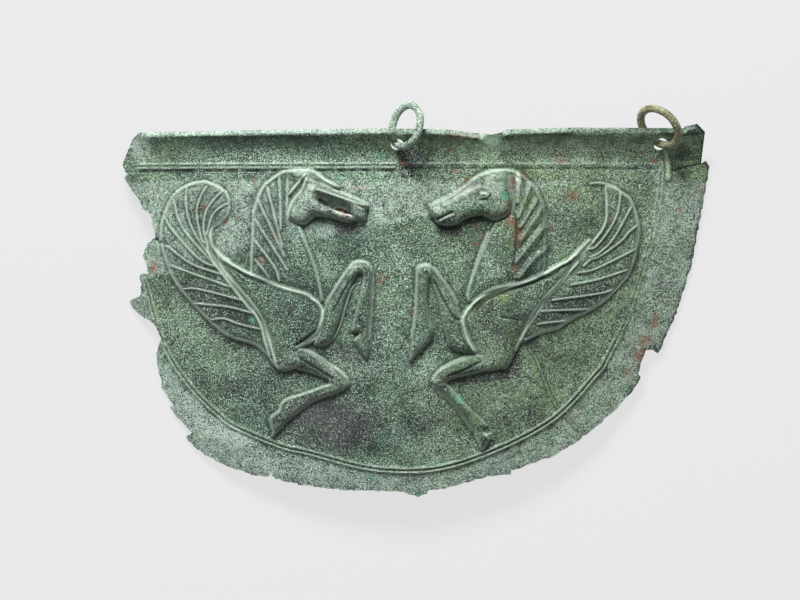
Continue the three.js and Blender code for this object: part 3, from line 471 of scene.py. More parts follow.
def relief(x, y):
    # Height of the relief at each point, then how far it is on a crest, where pale wear carries a
    # painted highlight, and in a corner, where painted shade lies with some dark crust.
    high, up, down, crest, corner = np.zeros((5, len(x)))
    for rise, soft, run in forms:
        k = near_run(run, x, y, 2.5)
        gap, inside = gap_to(run, x[k], y[k], True)
        t = np.clip(gap / soft, 0, 1)
        # A step at the form's edge, then a round shoulder.
        lift = rise * RELIEF * (0.45 * np.minimum(gap / 0.7, 1) ** 0.6 + 0.55 * (1 - (1 - t) ** 2))
        at_least(high, k, np.where(inside, lift, 0))
        # Painted shade: each form's lower side, turned away from the light above the rim, is
        # darkened just inside and outside its edge.
        nearest = np.argmin(np.hypot(run[:, 0, None] - x[k], run[:, 1, None] - y[k]), axis=0)
        under = run[nearest, 1] < y[k]
        low_side = np.where(inside, under & (gap < 2.2), ~under & (gap < 1.4))
        lower_side_shade = np.exp(-(gap / np.where(inside, 1.2, 0.8)) ** 2) * low_side
        at_least(corner, k, lower_side_shade * min(0.95, rise * 2.0))
        # A painted highlight, partly wear: a pale line just inside each form's edge.
        at_least(crest, k, np.where(inside, np.exp(-((gap - 0.5) / 0.45) ** 2) * 0.35, 0))
    for rise, half, run in lines:
        k = near_run(run, x, y, max(2.5, half + 0.5))
        gap = gap_to(run, x[k], y[k], False)[0]
        mark = bump(gap, half)
        if rise > 0:
            at_least(up, k, rise * RELIEF * mark)
            # Painted highlight, partly wear, along the top of each raised line, and painted shade
            # at its foot.
            shine = min(1, rise * 7) * (0.4 if half > 1.6 else 1)
            at_least(crest, k, bump(gap, min(half, 1.2) * 0.66) * shine)
            foot = max(half * 1.15, half + 0.15)
            at_least(corner, k, 0.65 * bump(np.abs(gap - foot), 0.7))
        else:
            down[k] = np.minimum(down[k], rise * RELIEF * mark)
            # Painted shade in the groove.
            at_least(corner, k, mark)
    across = x / WIDTH + 0.5
    rub = 0.72 + 0.28 * np.sin(x * 0.9 + 2 * np.sin(x * 0.23))
    for name, place, rise, half, start, end in ROLLS:
        run = np.clip((across - start) / 0.01, 0, 1) * np.clip((end - across) / 0.01, 0, 1) * rub
        mark = bump(np.abs(y - at_y(place)), half) * run
        if rise > 0:
            up = np.maximum(up, rise * RELIEF * mark)
            # A painted highlight, partly wear, on the upper side of each roll, toward the light.
            shine = min(0.7, rise * 5) * bump(np.abs(y - at_y(place) - 0.2), 0.5)
            crest = np.maximum(crest, shine * run)
        else:
            down = np.minimum(down, rise * RELIEF * mark)
            # Painted shade in the sunk line.
            corner = np.maximum(corner, mark)
    k = np.flatnonzero(y < at_y(0.895))
    gap = gap_to(border_run, x[k], y[k], False)[0]
    clear = 1 - 0.62 * np.clip((x[k] - at_x(0.31)) / 12, 0, 1)
    twin = bump(np.abs(gap - TWIN_APART), 0.72) * clear
    at_least(up, k, TWIN_RISE * RELIEF * twin)
    # A painted highlight, partly wear, on the two ridges, and painted shade in the groove between
    # them.
    at_least(crest, k, 0.55 * bump(np.abs(gap - TWIN_APART), 0.48) * clear)
    at_least(corner, k, 0.6 * bump(gap, 0.45) * clear)
    # The lip is folded outward along the rim itself, so it follows the rim's own line.
    k = np.flatnonzero(y > at_y(0.95))
    gap = gap_to(rim_run, x[k], y[k], False)[0]
    folded = on_lip(across[k], gap)
    down[k] -= LIP["fall"] * np.maximum(0, LIP["deep"] - gap) * folded
    # A painted highlight on the folded lip and painted shade at its foot.
    at_least(crest, k, 0.15 * np.clip((LIP["deep"] - gap) / 0.5, 0, 1) * folded)
    at_least(corner, k, 0.7 * bump(np.abs(gap - LIP["deep"] - 0.75), 0.7) * folded)
    wave = (np.sin(x * 0.19 + 1.3 * np.sin(y * 0.11)) * np.sin(y * 0.23 + 0.9 * np.sin(x * 0.13))
            + 0.5 * np.sin(x * 0.47 + y * 0.31) * np.sin(y * 0.53 - x * 0.29))
    dent = sum(patch(x, y, *row) for row in DENTS)
    return high + up + down + dent + HAMMERED * wave, np.clip(crest, 0, 1), np.clip(corner, 0, 1)


# Holes through the sheet: two for the rings, drilled straight through the slope of the rim,
# and the slit of the left horse's open mouth, whose shares are of that horse's frame.
# A ring's turn, roll and tip say how it lies, in degrees, and its slip how far it has slid
# from the middle of its hole. Hole and lift are in thicknesses of the sheet.
RINGS = {
    "centre_ring": {"x": -0.0318, "y": 0.9553, "hole": 2.39, "turn": 27, "roll": 50,
                    "tip": 13, "lift": 0.26, "grow": 1.0, "wire": 1.56, "slip": (-0.3, 0.0)},
    "right_ring": {"x": 0.4148, "y": 0.9591, "hole": 2.56, "turn": -2, "roll": 34,
                   "tip": 41, "lift": -0.7, "grow": 1.04, "wire": 1.66, "slip": (-0.3, 0.2)},
}
HOLE_SIDES = 20
MOUTH = [(0.821, 0.8485), (0.858, 0.8388), (0.903, 0.8284),
         (0.900, 0.8250), (0.858, 0.8343), (0.825, 0.8437)]


def hole_run(ring):
    x, y = at_x(ring["x"]), at_y(ring["y"])
    dx = front(x + 0.5, y) - front(x - 0.5, y)
    dy = front(x, y + 0.5) - front(x, y - 0.5)
    normal = Vector((-dx, -dy, 1)).normalized()
    side = normal.cross(Vector((0, 1, 0))).normalized()
    other = normal.cross(side)
    radius = ring["hole"] * SHEET
    turns = [2 * math.pi * k / HOLE_SIDES for k in range(HOLE_SIDES)]
    points = [(side * math.cos(t) + other * math.sin(t)) * radius for t in turns]
    return np.array([(x + p.x, y + p.y) for p in points])


cuts = [hole_run(ring) for ring in RINGS.values()]
cuts.append(np.array([(at_x(LEFT_HORSE["x"] + LEFT_HORSE["width"] * u),
                       at_y(LEFT_HORSE["y"] + LEFT_HORSE["height"] * v)) for u, v in MOUTH]))


def from_run(run, faces, closed):
    # Each face's distance from a run, and whether the run holds it.
    middle = np.array([f.calc_center_median().xy[:] for f in faces])
    return gap_to(run, middle[:, 0], middle[:, 1], closed)


def cut_along(bm, run):
    # Cuts the flat sheet along each straight piece of a closed run.
    near = {f for f, gap in zip(bm.faces, from_run(run, bm.faces, True)[0]) if gap < 4}
    for a, b in zip(np.roll(run, 1, axis=0), run):
        some = [f for f in near if f.is_valid]
        hit = [f for f, gap in zip(some, from_run(np.array([a, b]), some, False)[0]) if gap < 2.2]
        if not hit:
            continue
        edges = {e for f in hit for e in f.edges}
        verts = {v for f in hit for v in f.verts}
        out = bmesh.ops.bisect_plane(bm, geom=hit + list(edges) + list(verts), dist=1e-4,
                                     plane_co=(a[0], a[1], 0),
                                     plane_no=(a[1] - b[1], b[0] - a[0], 0))
        near = set(some) | {f for f in out["geom"] if isinstance(f, bmesh.types.BMFace)}


def drop_faces(bm, run, keep_inside):
    inside = from_run(run, bm.faces, True)[1]
    gone = [f for f, i in zip(bm.faces, inside) if bool(i) != keep_inside]
    bmesh.ops.delete(bm, geom=gone, context="FACES")


def refine(bm, side, least, shortest):
    # Halves the faces of one side where a flat face would miss the relief by too much.
    faces = [f for f in bm.faces if f[side_layer] == side]
    points = np.array([[f.verts[k].co.xy[:] for k in (0, 1, 2, -1)] for f in faces])
    low, size = points.min(1)[..., None], np.ptp(points, axis=1)[..., None]
    u, v = (k.ravel() for k in np.meshgrid(np.linspace(0, 1, 5), np.linspace(0, 1, 5)))
    x, y = low[:, 0] + size[:, 0] * u, low[:, 1] + size[:, 1] * v
    h = relief(x.ravel(), y.ravel())[0].reshape(x.shape)
    flat = (h[:, [0]] * (1 - u) * (1 - v) + h[:, [4]] * u * (1 - v)
            + h[:, [20]] * (1 - u) * v + h[:, [24]] * u * v)
    miss = np.abs(h - flat).max(1)
    chosen = {e for f, m in zip(faces, miss) if m > least for e in f.edges}
    chosen = [e for e in chosen if not e[rim_layer] and e.calc_length() > shortest]
    bmesh.ops.subdivide_edges(bm, edges=chosen, cuts=1, use_grid_fill=True)


BLANK = (252, 160)
WANDER = 0.28
BACK_RELIEF = 0.94
FRONT, BACK, WALL = 1, 2, 0
cell = 1.9
sheet = bmesh.new()
bmesh.ops.create_grid(sheet, x_segments=round(BLANK[0] / cell), y_segments=round(BLANK[1] / cell),
                      size=0.5)
bmesh.ops.scale(sheet, vec=(*BLANK, 1), verts=sheet.verts)
middle = (outline.min(0) + outline.max(0)) / 2
bmesh.ops.translate(sheet, vec=(middle[0], middle[1], 0), verts=sheet.verts)
cut_along(sheet, outline)
drop_faces(sheet, outline, True)
for run in cuts:
    cut_along(sheet, run)
    drop_faces(sheet, run, False)
bmesh.ops.remove_doubles(sheet, verts=sheet.verts, dist=0.02)

# The broken edge is bitten and uneven, so its points wander a little.
for v in sheet.verts:
    if v.is_boundary and v.co.y < at_y(0.9):
        v.co.x += WANDER * math.sin(v.co.x * 2.3 + v.co.y * 1.7)
        v.co.y += WANDER * math.sin(v.co.x * 1.9 - v.co.y * 2.6)

# The back is a copy of the front, joined to it by the wall of the edge and of each hole.
side_layer = sheet.faces.layers.int.new("side")
rim_layer = sheet.edges.layers.int.new("rim")
made = bmesh.ops.extrude_face_region(sheet, geom=sheet.faces[:], use_keep_orig=True)
back_verts = {v for v in made["geom"] if isinstance(v, bmesh.types.BMVert)}
for f in sheet.faces:
    on_back = sum(v in back_verts for v in f.verts)
    f[side_layer] = BACK if on_back == len(f.verts) else WALL if on_back else FRONT
for e in sheet.edges:
    e[rim_layer] = int(any(f[side_layer] == WALL for f in e.link_faces))
for again in range(2):
    refine(sheet, FRONT, least=0.06, shortest=0.6)
refine(sheet, BACK, least=0.15, shortest=0.8)

# Both sides take their heights, and each point keeps its marks for the bronze's finish: pale wear
# with a painted highlight, and painted shade with some dark crust. The back is less worn and
# carries less of the painted shade.
front_verts = {v for f in sheet.faces if f[side_layer] == FRONT for v in f.verts}
order = list(sheet.verts)
x, y = np.array([v.co.xy[:] for v in order]).T.copy()
is_front = np.array([v in front_verts for v in order])
height, crest, corner = relief(x, y)
z = front(x, y) + np.where(is_front, height, BACK_RELIEF * height - SHEET * steepness(x, y))
crest = np.where(is_front, crest, 0.15 * crest)
corner = np.where(is_front, corner, 0.3 * corner)
for v, level in zip(order, z):
    v.co.z = level
for f in sheet.faces:
    f.smooth = True
for e in sheet.edges:
    e.smooth = not e[rim_layer]
bmesh.ops.recalc_face_normals(sheet, faces=sheet.faces)

# The plate is set where the CAD plate lies, in metres.
low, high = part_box("plate")
shift = Vector(((low.x + high.x) * 500 - middle[0], (low.y + high.y) * 500 - middle[1],
                low.z * 1000 - z.min()))
bmesh.ops.translate(sheet, vec=shift, verts=sheet.verts)
bmesh.ops.scale(sheet, vec=(0.001, 0.001, 0.001), verts=sheet.verts)


def finished(name, bm):
    # An object made of a finished shape.
    mesh = bpy.data.meshes.new(name)
    bm.to_mesh(mesh)
    bm.free()
    piece = bpy.data.objects.new(name, mesh)
    bpy.context.scene.collection.objects.link(piece)
    return piece


def keep_mark(name, values):
    mark = plate.data.attributes.new(name, "FLOAT", "POINT")
    mark.data.foreach_set("value", np.asarray(values, np.float32))


plate = finished("hammered_plate", sheet)
keep_mark("crest", crest)
keep_mark("corner", corner)
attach(plate, "root")
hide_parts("plate")


# The bronze's skin: grey-green corrosion full of fine black pits and pale grains. It is worn pale
# on the crests, with a painted highlight there, and painted shade with some dark crust lies in the
# corners and under the forms. Stains of other salts have grown in it; a few of the dark and violet
# patches are painted shadows under the two muzzles, and the dark along the right broken edge is
# painted shade.
# Each stain: as in the table of dents, with its strength in hundredths instead of a height.

STAINS = {
    "dark": [
        (-160, 206, 202, 109, 100), (-198, 346, 109, 50, 60), (-119, 400, 84, 38, 80, -30),
        (-89, 303, 38, 67, 60), (-303, 303, 92, 50, 60, -20), (-313, 443, 168, 34, 70, -28),
        (-342, 532, 185, 71, 90, -28), (-375, 631, 126, 50, 55, -28), (-2, 400, 29, 25, 90),
        (-75, 136, 34, 34, 70), (15, 217, 92, 50, 50), (35, 284, 50, 59, 50),
        (121, 157, 29, 25, 90), (-14, 917, 59, 71, 95), (-215, 968, 630, 25, 35),
        (66, 314, 92, 21, 50), (-262, 642, 50, 50, 60), (-235, 742, 76, 143, 45, 22),
        (-359, 769, 92, 109, 50), (333, 715, 76, 118, 35, -20), (-419, 702, 38, 34, 40),
        (270, 534, 210, 55, 75, 24), (190, 437, 42, 76, 60, 30), (177, 217, 134, 67, 45),
        (253, 405, 126, 92, 35), (454, 936, 42, 34, 65), (189, 642, 38, 67, 50),
        # The last patch in this row and the first in the next are painted shadows under the two
        # muzzles.
        (-138, 807, 76, 25, 100, -22), (-96, 473, 25, 42, 50), (-113, 734, 59, 29, 75),
        (58, 726, 59, 25, 75), (92, 750, 59, 17, 60, 5), (109, 335, 151, 29, 100, 4),
        (168, 373, 50, 34, 80, 50), (-187, 429, 50, 25, 75, 30), (-223, 359, 84, 25, 60, -5),
        (-198, 497, 101, 84, 60), (143, 481, 118, 101, 60), (-300, 661, 42, 34, 40),
        (-68, 904, 67, 29, 45), (12, 992, 13, 13, 90), (-281, 815, 13, 8, 90, 40),
        (-453, 890, 50, 13, 60), (-351, 887, 294, 13, 45), (7, 567, 34, 126, 20),
        (-262, 270, 42, 76, 50), (-359, 324, 50, 67, 35), (338, 621, 101, 34, 35, 30),
        (313, 338, 59, 101, 25, 20), (-249, 702, 50, 143, 55, 22), (296, 769, 59, 67, 25),
        (-393, 769, 76, 109, 20), (-147, 149, 210, 34, 40),
    ],
    "violet": [
        (-147, 211, 227, 126, 85), (-138, 378, 235, 84, 55, -10), (-252, 351, 84, 59, 50),
        # The first two patches in this row are painted shadows under the two muzzles.
        (-113, 726, 63, 34, 80), (58, 720, 50, 21, 70), (-14, 912, 76, 59, 55),
        (-34, 922, 25, 34, 60), (83, 831, 84, 34, 35, 28), (24, 270, 143, 118, 30),
        (-359, 499, 84, 109, 30), (-198, 534, 126, 50, 20), (406, 863, 42, 42, 40),
        (435, 960, 42, 21, 50), (-104, 540, 101, 168, 25), (160, 338, 126, 34, 30),
        (466, 984, 42, 25, 30),
    ],
    "rust": [
        (160, 852, 21, 34, 60), (182, 874, 25, 13, 55, -30), (148, 763, 42, 15, 90, 28),
        (172, 712, 21, 55, 55), (160, 747, 17, 17, 80), (168, 626, 13, 34, 50),
        (265, 820, 34, 25, 45), (389, 432, 34, 21, 60, 40), (406, 481, 21, 42, 50, -20),
        (381, 394, 25, 38, 60, -30), (361, 341, 25, 25, 50), (245, 917, 42, 21, 40),
        (-2, 508, 15, 15, 70), (-359, 788, 13, 13, 60), (-324, 750, 13, 11, 65),
        (-273, 860, 17, 13, 50), (-448, 626, 17, 34, 65), (102, 691, 21, 11, 55),
        (85, 863, 13, 8, 70), (66, 885, 17, 8, 60), (231, 737, 13, 13, 70), (405, 914, 21, 11, 60),
        (446, 780, 17, 13, 60), (-126, 780, 29, 7, 90, -20), (-164, 820, 17, 13, 70),
        (-237, 710, 13, 21, 60, 25), (54, 936, 17, 13, 50), (66, 922, 17, 8, 50),
        (-21, 906, 21, 13, 60), (75, 979, 84, 7, 50, -3), (442, 982, 34, 17, 50, 10),
        (104, 739, 13, 13, 50), (115, 710, 25, 13, 50, -20), (-62, 594, 29, 29, 35),
        (156, 796, 13, 17, 50), (-109, 842, 25, 8, 40, -10), (488, 836, 11, 34, 45),
        (326, 755, 25, 42, 25), (-390, 828, 8, 8, 60), (109, 392, 25, 13, 30),
    ],
    "moss": [
        (253, 890, 260, 143, 55), (177, 782, 109, 210, 55), (275, 214, 101, 29, 85, 28),
        (318, 260, 76, 25, 85, 38), (374, 357, 29, 84, 80, -25), (415, 508, 25, 59, 70, -20),
        (206, 357, 17, 101, 75, 12), (231, 276, 17, 76, 75, 20), (126, 532, 126, 38, 60, 22),
        (75, 990, 84, 13, 90, -2), (-371, 173, 42, 25, 80, -30), (-191, 712, 15, 25, 80, 10),
        (-451, 642, 21, 34, 55), (41, 114, 193, 50, 35), (427, 898, 17, 55, 85),
        (-113, 847, 34, 17, 40, -20), (406, 675, 25, 252, 35, -8), (-62, 863, 92, 67, 25),
        (-10, 755, 126, 84, 25), (219, 203, 76, 84, 35), (-281, 653, 8, 38, 60),
        (-75, 319, 34, 25, 35), (245, 939, 546, 29, 30), (-167, 858, 25, 34, 30),
        (-444, 513, 42, 84, 30), (466, 917, 34, 92, 40), (-330, 850, 126, 76, 25),
        (143, 446, 126, 84, 25), (143, 949, 34, 17, 40), (-99, 459, 67, 59, 30),
    ],
    "chalk": [
        (-325, 179, 185, 50, 95, -28), (265, 952, 462, 25, 38), (-262, 114, 210, 50, 70, -20),
        (-376, 238, 42, 101, 75, 35), (-138, 60, 168, 38, 75, -6), (41, 71, 252, 42, 45, 4),
        (-330, 179, 84, 38, 90, -12), (-198, 93, 143, 38, 65, -14), (-279, 114, 101, 34, 55, -16),
        (173, 863, 13, 34, 80), (-194, 882, 34, 11, 85), (117, 871, 84, 21, 40, 14),
        (-470, 944, 50, 59, 55), (-472, 540, 34, 42, 50), (-415, 311, 34, 101, 40, 15),
        (-101, 629, 67, 29, 40, 20), (8, 631, 50, 25, 40), (41, 103, 92, 34, 40),
        (238, 235, 76, 25, 40, 30), (410, 796, 29, 185, 35), (381, 513, 42, 109, 30, -20),
        (-283, 992, 630, 13, 95), (-402, 987, 84, 13, 50), (151, 990, 25, 13, 80),
        (262, 996, 336, 11, 85), (24, 995, 50, 11, 60), (-181, 874, 143, 34, 30),
        (-262, 890, 76, 34, 25), (-121, 823, 92, 13, 40, -24), (143, 879, 101, 21, 45),
        (58, 815, 67, 17, 35, 25), (-121, 765, 46, 11, 95, -22), (109, 82, 109, 25, 35, 8),
        (-62, 82, 210, 21, 30), (-444, 809, 50, 42, 25), (-206, 400, 50, 13, 40, 10),
        (-283, 607, 92, 17, 25, -22), (415, 567, 34, 126, 25, -10), (122, 184, 17, 13, 70),
        (-121, 567, 21, 67, 30, -15), (-334, 809, 59, 59, 20), (381, 405, 42, 42, 30),
    ],
    "verdigris": [
        (150, 820, 21, 21, 95, -40), (73, 273, 21, 21, 85), (-278, 486, 17, 17, 80),
        (-60, 925, 25, 29, 70), (100, 580, 34, 42, 45), (296, 233, 34, 34, 50),
        (355, 303, 29, 25, 50), (-206, 688, 34, 101, 28), (-130, 863, 21, 13, 60),
        (-79, 852, 42, 17, 55), (24, 103, 92, 29, 45), (-79, 60, 29, 25, 50),
        (335, 796, 29, 25, 45), (463, 580, 25, 76, 45, -15), (151, 863, 34, 34, 40),
        (-232, 836, 50, 67, 35), (-410, 715, 42, 59, 40), (-325, 782, 34, 34, 35),
        (92, 790, 101, 34, 35, 10), (415, 995, 38, 13, 60), (3, 20, 34, 17, 50),
        (-453, 688, 42, 67, 30), (270, 621, 84, 67, 30), (211, 338, 21, 34, 40),
        (-147, 742, 84, 34, 30), (-164, 688, 76, 84, 20), (-436, 378, 34, 67, 30),
        (58, 526, 34, 25, 35), (219, 163, 67, 25, 35, 20), (466, 944, 34, 34, 30),
    ],
    "fill": [
        (126, 974, 40, 38, 100), (126, 933, 38, 29, 45), (-196, 882, 34, 11, 80),
        (173, 863, 11, 34, 70), (143, 885, 50, 13, 50), (-101, 631, 34, 13, 40, 20),
        (121, 184, 15, 13, 80),
    ],
    "smooth": [
        (-283, 963, 546, 25, 90), (245, 966, 420, 25, 80), (24, 966, 210, 25, 90),
        (92, 842, 143, 46, 75, 26), (148, 869, 84, 34, 80), (41, 777, 59, 42, 50),
        (143, 486, 134, 109, 55), (-201, 508, 109, 101, 50), (-177, 858, 92, 42, 70),
        (-130, 809, 109, 59, 60, -22), (-198, 782, 50, 50, 40), (-121, 540, 59, 168, 40, -20),
        (-164, 365, 109, 42, 50, -25), (-181, 265, 126, 42, 50, 22), (24, 540, 59, 143, 40, 10),
        (66, 365, 92, 34, 50, 10), (83, 238, 84, 42, 50, -48), (-113, 726, 67, 34, 80),
        (54, 726, 59, 25, 80), (92, 750, 84, 17, 70, 5), (432, 939, 50, 42, 60),
        (429, 895, 21, 50, 60), (-470, 949, 50, 67, 40), (109, 335, 151, 29, 80, 4),
        (-147, 203, 168, 92, 35), (-121, 400, 84, 38, 50, -30), (-325, 168, 126, 42, 35, -14),
        (449, 971, 67, 42, 50),
    ],
    "rose": [
        (-121, 768, 42, 10, 95, -22), (-102, 796, 25, 13, 35, -15), (78, 836, 59, 21, 28, 30),
        (-87, 844, 29, 13, 35), (-262, 642, 34, 25, 30),
    ],
}
BARE_BAND = 0.52
# How pale the folded lip is painted: partly crust, partly a painted highlight.
LIP_CRUST_AND_HIGHLIGHT = 0.43
BACK_STAINED = 0.7
through = np.where(is_front, 1, BACK_STAINED)
for kind, rows in STAINS.items():
    amount = np.zeros(x.shape)
    for row in rows:
        amount = np.maximum(amount, patch(x, y, *row))
    if kind == "chalk":
        # The bare band outside the twin ridge is dry and pale all along.
        below = np.flatnonzero(y < at_y(0.86))
        outside = np.clip((gap_to(border_run, x[below], y[below], False)[0] - 1) / 2, 0, 1)
        held = gap_to(np.vstack([border_run, border_run[:1]]), x[below], y[below], True)[1]
        at_least(amount, below, BARE_BAND * np.where(held, 0, outside))
        # The folded lip is pale too: partly pale crust, partly a painted highlight on its top.
        above = np.flatnonzero(y > at_y(0.95))
        gap = gap_to(rim_run, x[above], y[above], False)[0]
        lip_crust_and_highlight = LIP_CRUST_AND_HIGHLIGHT * np.clip((LIP["deep"] + 0.3 - gap) / 0.6, 0, 1)
        at_least(amount, above, lip_crust_and_highlight * on_lip(x[above] / WIDTH + 0.5, gap))
    if kind == "dark":
        # Painted shade: the broken edge is darkened along the right side, where it stands in
        # shadow.
        edge = gap_to(outline, x, y, True)[0]
        amount = np.maximum(amount, 0.9 * np.clip((0.9 - edge) / 0.6, 0, 1) * (x > at_x(0.36)))
    keep_mark(kind, amount * through)


def new_group(name, takes, gives):
    # A group of nodes for more than one bronze: a place and the values in, and results out.
    group = bpy.data.node_groups.new(name, "ShaderNodeTree")
    group.interface.new_socket("Vector", in_out="INPUT", socket_type="NodeSocketVector")
    for label, value in takes.items():
        kind = "NodeSocketColor" if isinstance(value, tuple) else "NodeSocketFloat"
        group.interface.new_socket(label, in_out="INPUT", socket_type=kind).default_value = value
    for label in gives:
        kind = "NodeSocketColor" if label == "Color" else "NodeSocketFloat"
        group.interface.new_socket(label, in_out="OUTPUT", socket_type=kind)
    given, result = group.nodes.new("NodeGroupInput"), group.nodes.new("NodeGroupOutput")
    return group, given.outputs, result.inputs


def wire(target, value):
    # Feeds a socket from another one, or sets it. A colour is set without its fourth number.
    if isinstance(value, bpy.types.NodeSocket):
        target.id_data.links.new(value, target)
    else:
        target.default_value = (*value, 1) if isinstance(value, tuple) else value


def fed(node, **values):
    # Feeds a node's inputs, and gives back its outputs.
    for label, value in values.items():
        wire(node.inputs[label.replace("_", " ")], value)
    return node.outputs


def noise(place, scale, detail, rough):
    node = place.id_data.nodes.new("ShaderNodeTexNoise")
    return fed(node, Vector=place, Scale=scale, Detail=detail, Roughness=rough)["Fac"]


def math_node(kind, a, b):
    node = a.id_data.nodes.new("ShaderNodeMath")
    node.operation = kind
    wire(node.inputs[0], a)
    wire(node.inputs[1], b)
    return node.outputs[0]


def times(a, b):
    return math_node("MULTIPLY", a, b)


def plus(a, b):
    return math_node("ADD", a, b)


def minus(a, b):
    return math_node("SUBTRACT", a, b)


def span(value, low, high, least=0.0, most=1.0):
    node = value.id_data.nodes.new("ShaderNodeMapRange")
    return fed(node, Value=value, From_Min=low, From_Max=high, To_Min=least, To_Max=most)["Result"]


def blend(mask, under, over):
    node = mask.id_data.nodes.new("ShaderNodeMix")
    node.data_type = "RGBA"
    for k, value in ((0, mask), (6, under), (7, over)):
        wire(node.inputs[k], value)
    return node.outputs[2]


def place_group(group, **values):
    node = values["Vector"].id_data.nodes.new("ShaderNodeGroup")
    node.node_tree = group
    return fed(node, **values)


# Pits and grains: the crust's finest grit, half a millimetre across.
grit, given, result = new_group(
    "corrosion_grit", {"Grit Size": 1250.0, "Pits": 0.42, "Grains": 0.58},
    ("Pits", "Grains", "Height"))
fine = noise(given["Vector"], given["Grit Size"], 2.0, 0.75)
shifted = grit.nodes.new("ShaderNodeVectorMath")
wire(shifted.inputs[0], given["Vector"])
shifted.inputs[1].default_value = (0.31, 0.17, 0.53)
other_fine = noise(shifted.outputs[0], times(given["Grit Size"], 1.2), 1.0, 0.6)
pit = span(minus(given["Pits"], fine), -0.015, 0.03)
grain = span(minus(other_fine, given["Grains"]), -0.015, 0.03)
wire(result["Pits"], pit)
wire(result["Grains"], grain)
wire(result["Height"], plus(times(grain, 0.5), times(pit, -1.0)))

# A stain with a ragged edge, laid over the colour beneath it.
stain, given, result = new_group(
    "ragged_stain", {"Under": (0.2, 0.3, 0.2, 1), "Stain": (0.1, 0.1, 0.1, 1), "Mask": 0.0,
                     "Patch Size": 250.0, "Ragged": 1.0}, ("Color",))
broken = times(minus(noise(given["Vector"], given["Patch Size"], 4.0, 0.7), 0.5), given["Ragged"])
cover = times(span(plus(given["Mask"], broken), 0.18, 0.78), span(given["Mask"], 0.0, 0.18))
wire(result["Color"], blend(cover, given["Under"], given["Stain"]))


def new_bronze(name, roughness):
    material = bpy.data.materials.new(name)
    material.use_nodes = True
    shader = material.node_tree.nodes["Principled BSDF"]
    place = material.node_tree.nodes.new("ShaderNodeTexCoord").outputs["Object"]
    uneven = span(noise(place, 330, 3, 0.6), 0.3, 0.7, roughness - 0.1, roughness + 0.12)
    wire(shader.inputs["Roughness"], uneven)
    return material, shader, place


def roughen(shader, height, strength, depth):
    node = height.id_data.nodes.new("ShaderNodeBump")
    bumpy = fed(node, Strength=strength, Distance=depth, Height=height)
    wire(shader.inputs["Normal"], bumpy["Normal"])


PATINA = {
    "blue side": (0.100, 0.192, 0.130), "yellow side": (0.208, 0.312, 0.150),
    "deep": (0.045, 0.078, 0.052), "pit": (0.004, 0.010, 0.006), "grain": (0.70, 0.94, 0.75),
    "dark": (0.034, 0.048, 0.040), "violet": (0.088, 0.098, 0.094), "moss": (0.21, 0.31, 0.10),
    "chalk": (0.52, 0.64, 0.56), "verdigris": (0.14, 0.40, 0.26), "rust": (0.30, 0.120, 0.070),
    "rose": (0.78, 0.56, 0.47), "worn_and_highlight": (0.62, 0.78, 0.64), "shade_and_crust": (0.016, 0.030, 0.020),
    "fill": (0.62, 0.86, 0.62),
}
plate_bronze, shader, place = new_bronze("plate_bronze", 0.6)


def carried(label):
    # What the plate's points carry under this name.
    node = place.id_data.nodes.new("ShaderNodeAttribute")
    node.attribute_name = label
    return node.outputs["Fac"]


def stained(colour, kind, size, ragged):
    return place_group(stain, Vector=place, Under=colour, Stain=PATINA[kind],
                       Mask=carried(kind), Patch_Size=size, Ragged=ragged)["Color"]


split = place.id_data.nodes.new("ShaderNodeSeparateXYZ")
wire(split.inputs[0], place)
toward_right = span(split.outputs["X"], -0.03, 0.11, -0.12, 0.16)
broad = span(plus(noise(place, 26, 3, 0.6), toward_right), 0.36, 0.66)
mottle = noise(place, 260, 4, 0.75)
skin = blend(broad, PATINA["blue side"], PATINA["yellow side"])
skin = blend(span(mottle, 0.54, 0.36, 0.0, 0.85), skin, PATINA["deep"])
for kind, size, ragged in (("moss", 160, 1.3), ("chalk", 260, 1.6), ("dark", 180, 1.4),
                           ("violet", 140, 1.3), ("verdigris", 300, 1.5), ("fill", 500, 1.4)):
    skin = stained(skin, kind, size, ragged)

# Fewer pits and grains where the metal is smooth or dark.
bare = math_node("MAXIMUM", carried("smooth"), times(carried("dark"), 0.6))
pits_at = minus(plus(times(noise(place, 85, 3, 0.6), 0.17), 0.384), times(carried("smooth"), 0.07))
grains_at = plus(plus(times(noise(place, 60, 3, 0.6), -0.26), 0.717), times(bare, 0.085))
lumps = place_group(grit, Vector=place, Grit_Size=820.0, Pits=minus(pits_at, 0.035),
                    Grains=plus(grains_at, 0.035))
specks = place_group(grit, Vector=place, Grit_Size=1850.0, Pits=pits_at, Grains=grains_at)
for layer, share in ((lumps, 0.5), (specks, 1.0)):
    skin = blend(times(layer["Pits"], share), skin, PATINA["pit"])
    skin = blend(times(layer["Grains"], share * 0.9), skin, PATINA["grain"])
skin = blend(span(carried("verdigris"), 0.6, 0.85, 0.0, 0.85), skin, PATINA["verdigris"])
skin = stained(skin, "rust", 900, 2.2)
skin = stained(skin, "rose", 380, 0.9)
# Painted shade, partly dark crust: darkest in the hollows, at the feet of raised lines and along
# the lower sides of the forms.
skin = blend(times(carried("corner"), 0.95), skin, PATINA["shade_and_crust"])
# Pale wear with a painted highlight on the crests.
worn_and_highlight = times(carried("crest"), span(mottle, 0.28, 0.5, 0.78, 1.0))
wire(shader.inputs["Base Color"], blend(worn_and_highlight, skin, PATINA["worn_and_highlight"]))
crust = plus(times(specks["Height"], 0.35), times(lumps["Height"], 0.7))
roughen(shader, plus(crust, times(mottle, 1.4)), 0.9, 0.00034)
plate.data.materials.append(plate_bronze)


# The two loose rings: thick round wire bent round and closed, pitted and a little uneven.
# Each hangs in its own hole in the hollow band under the lip, and lies over the lip.

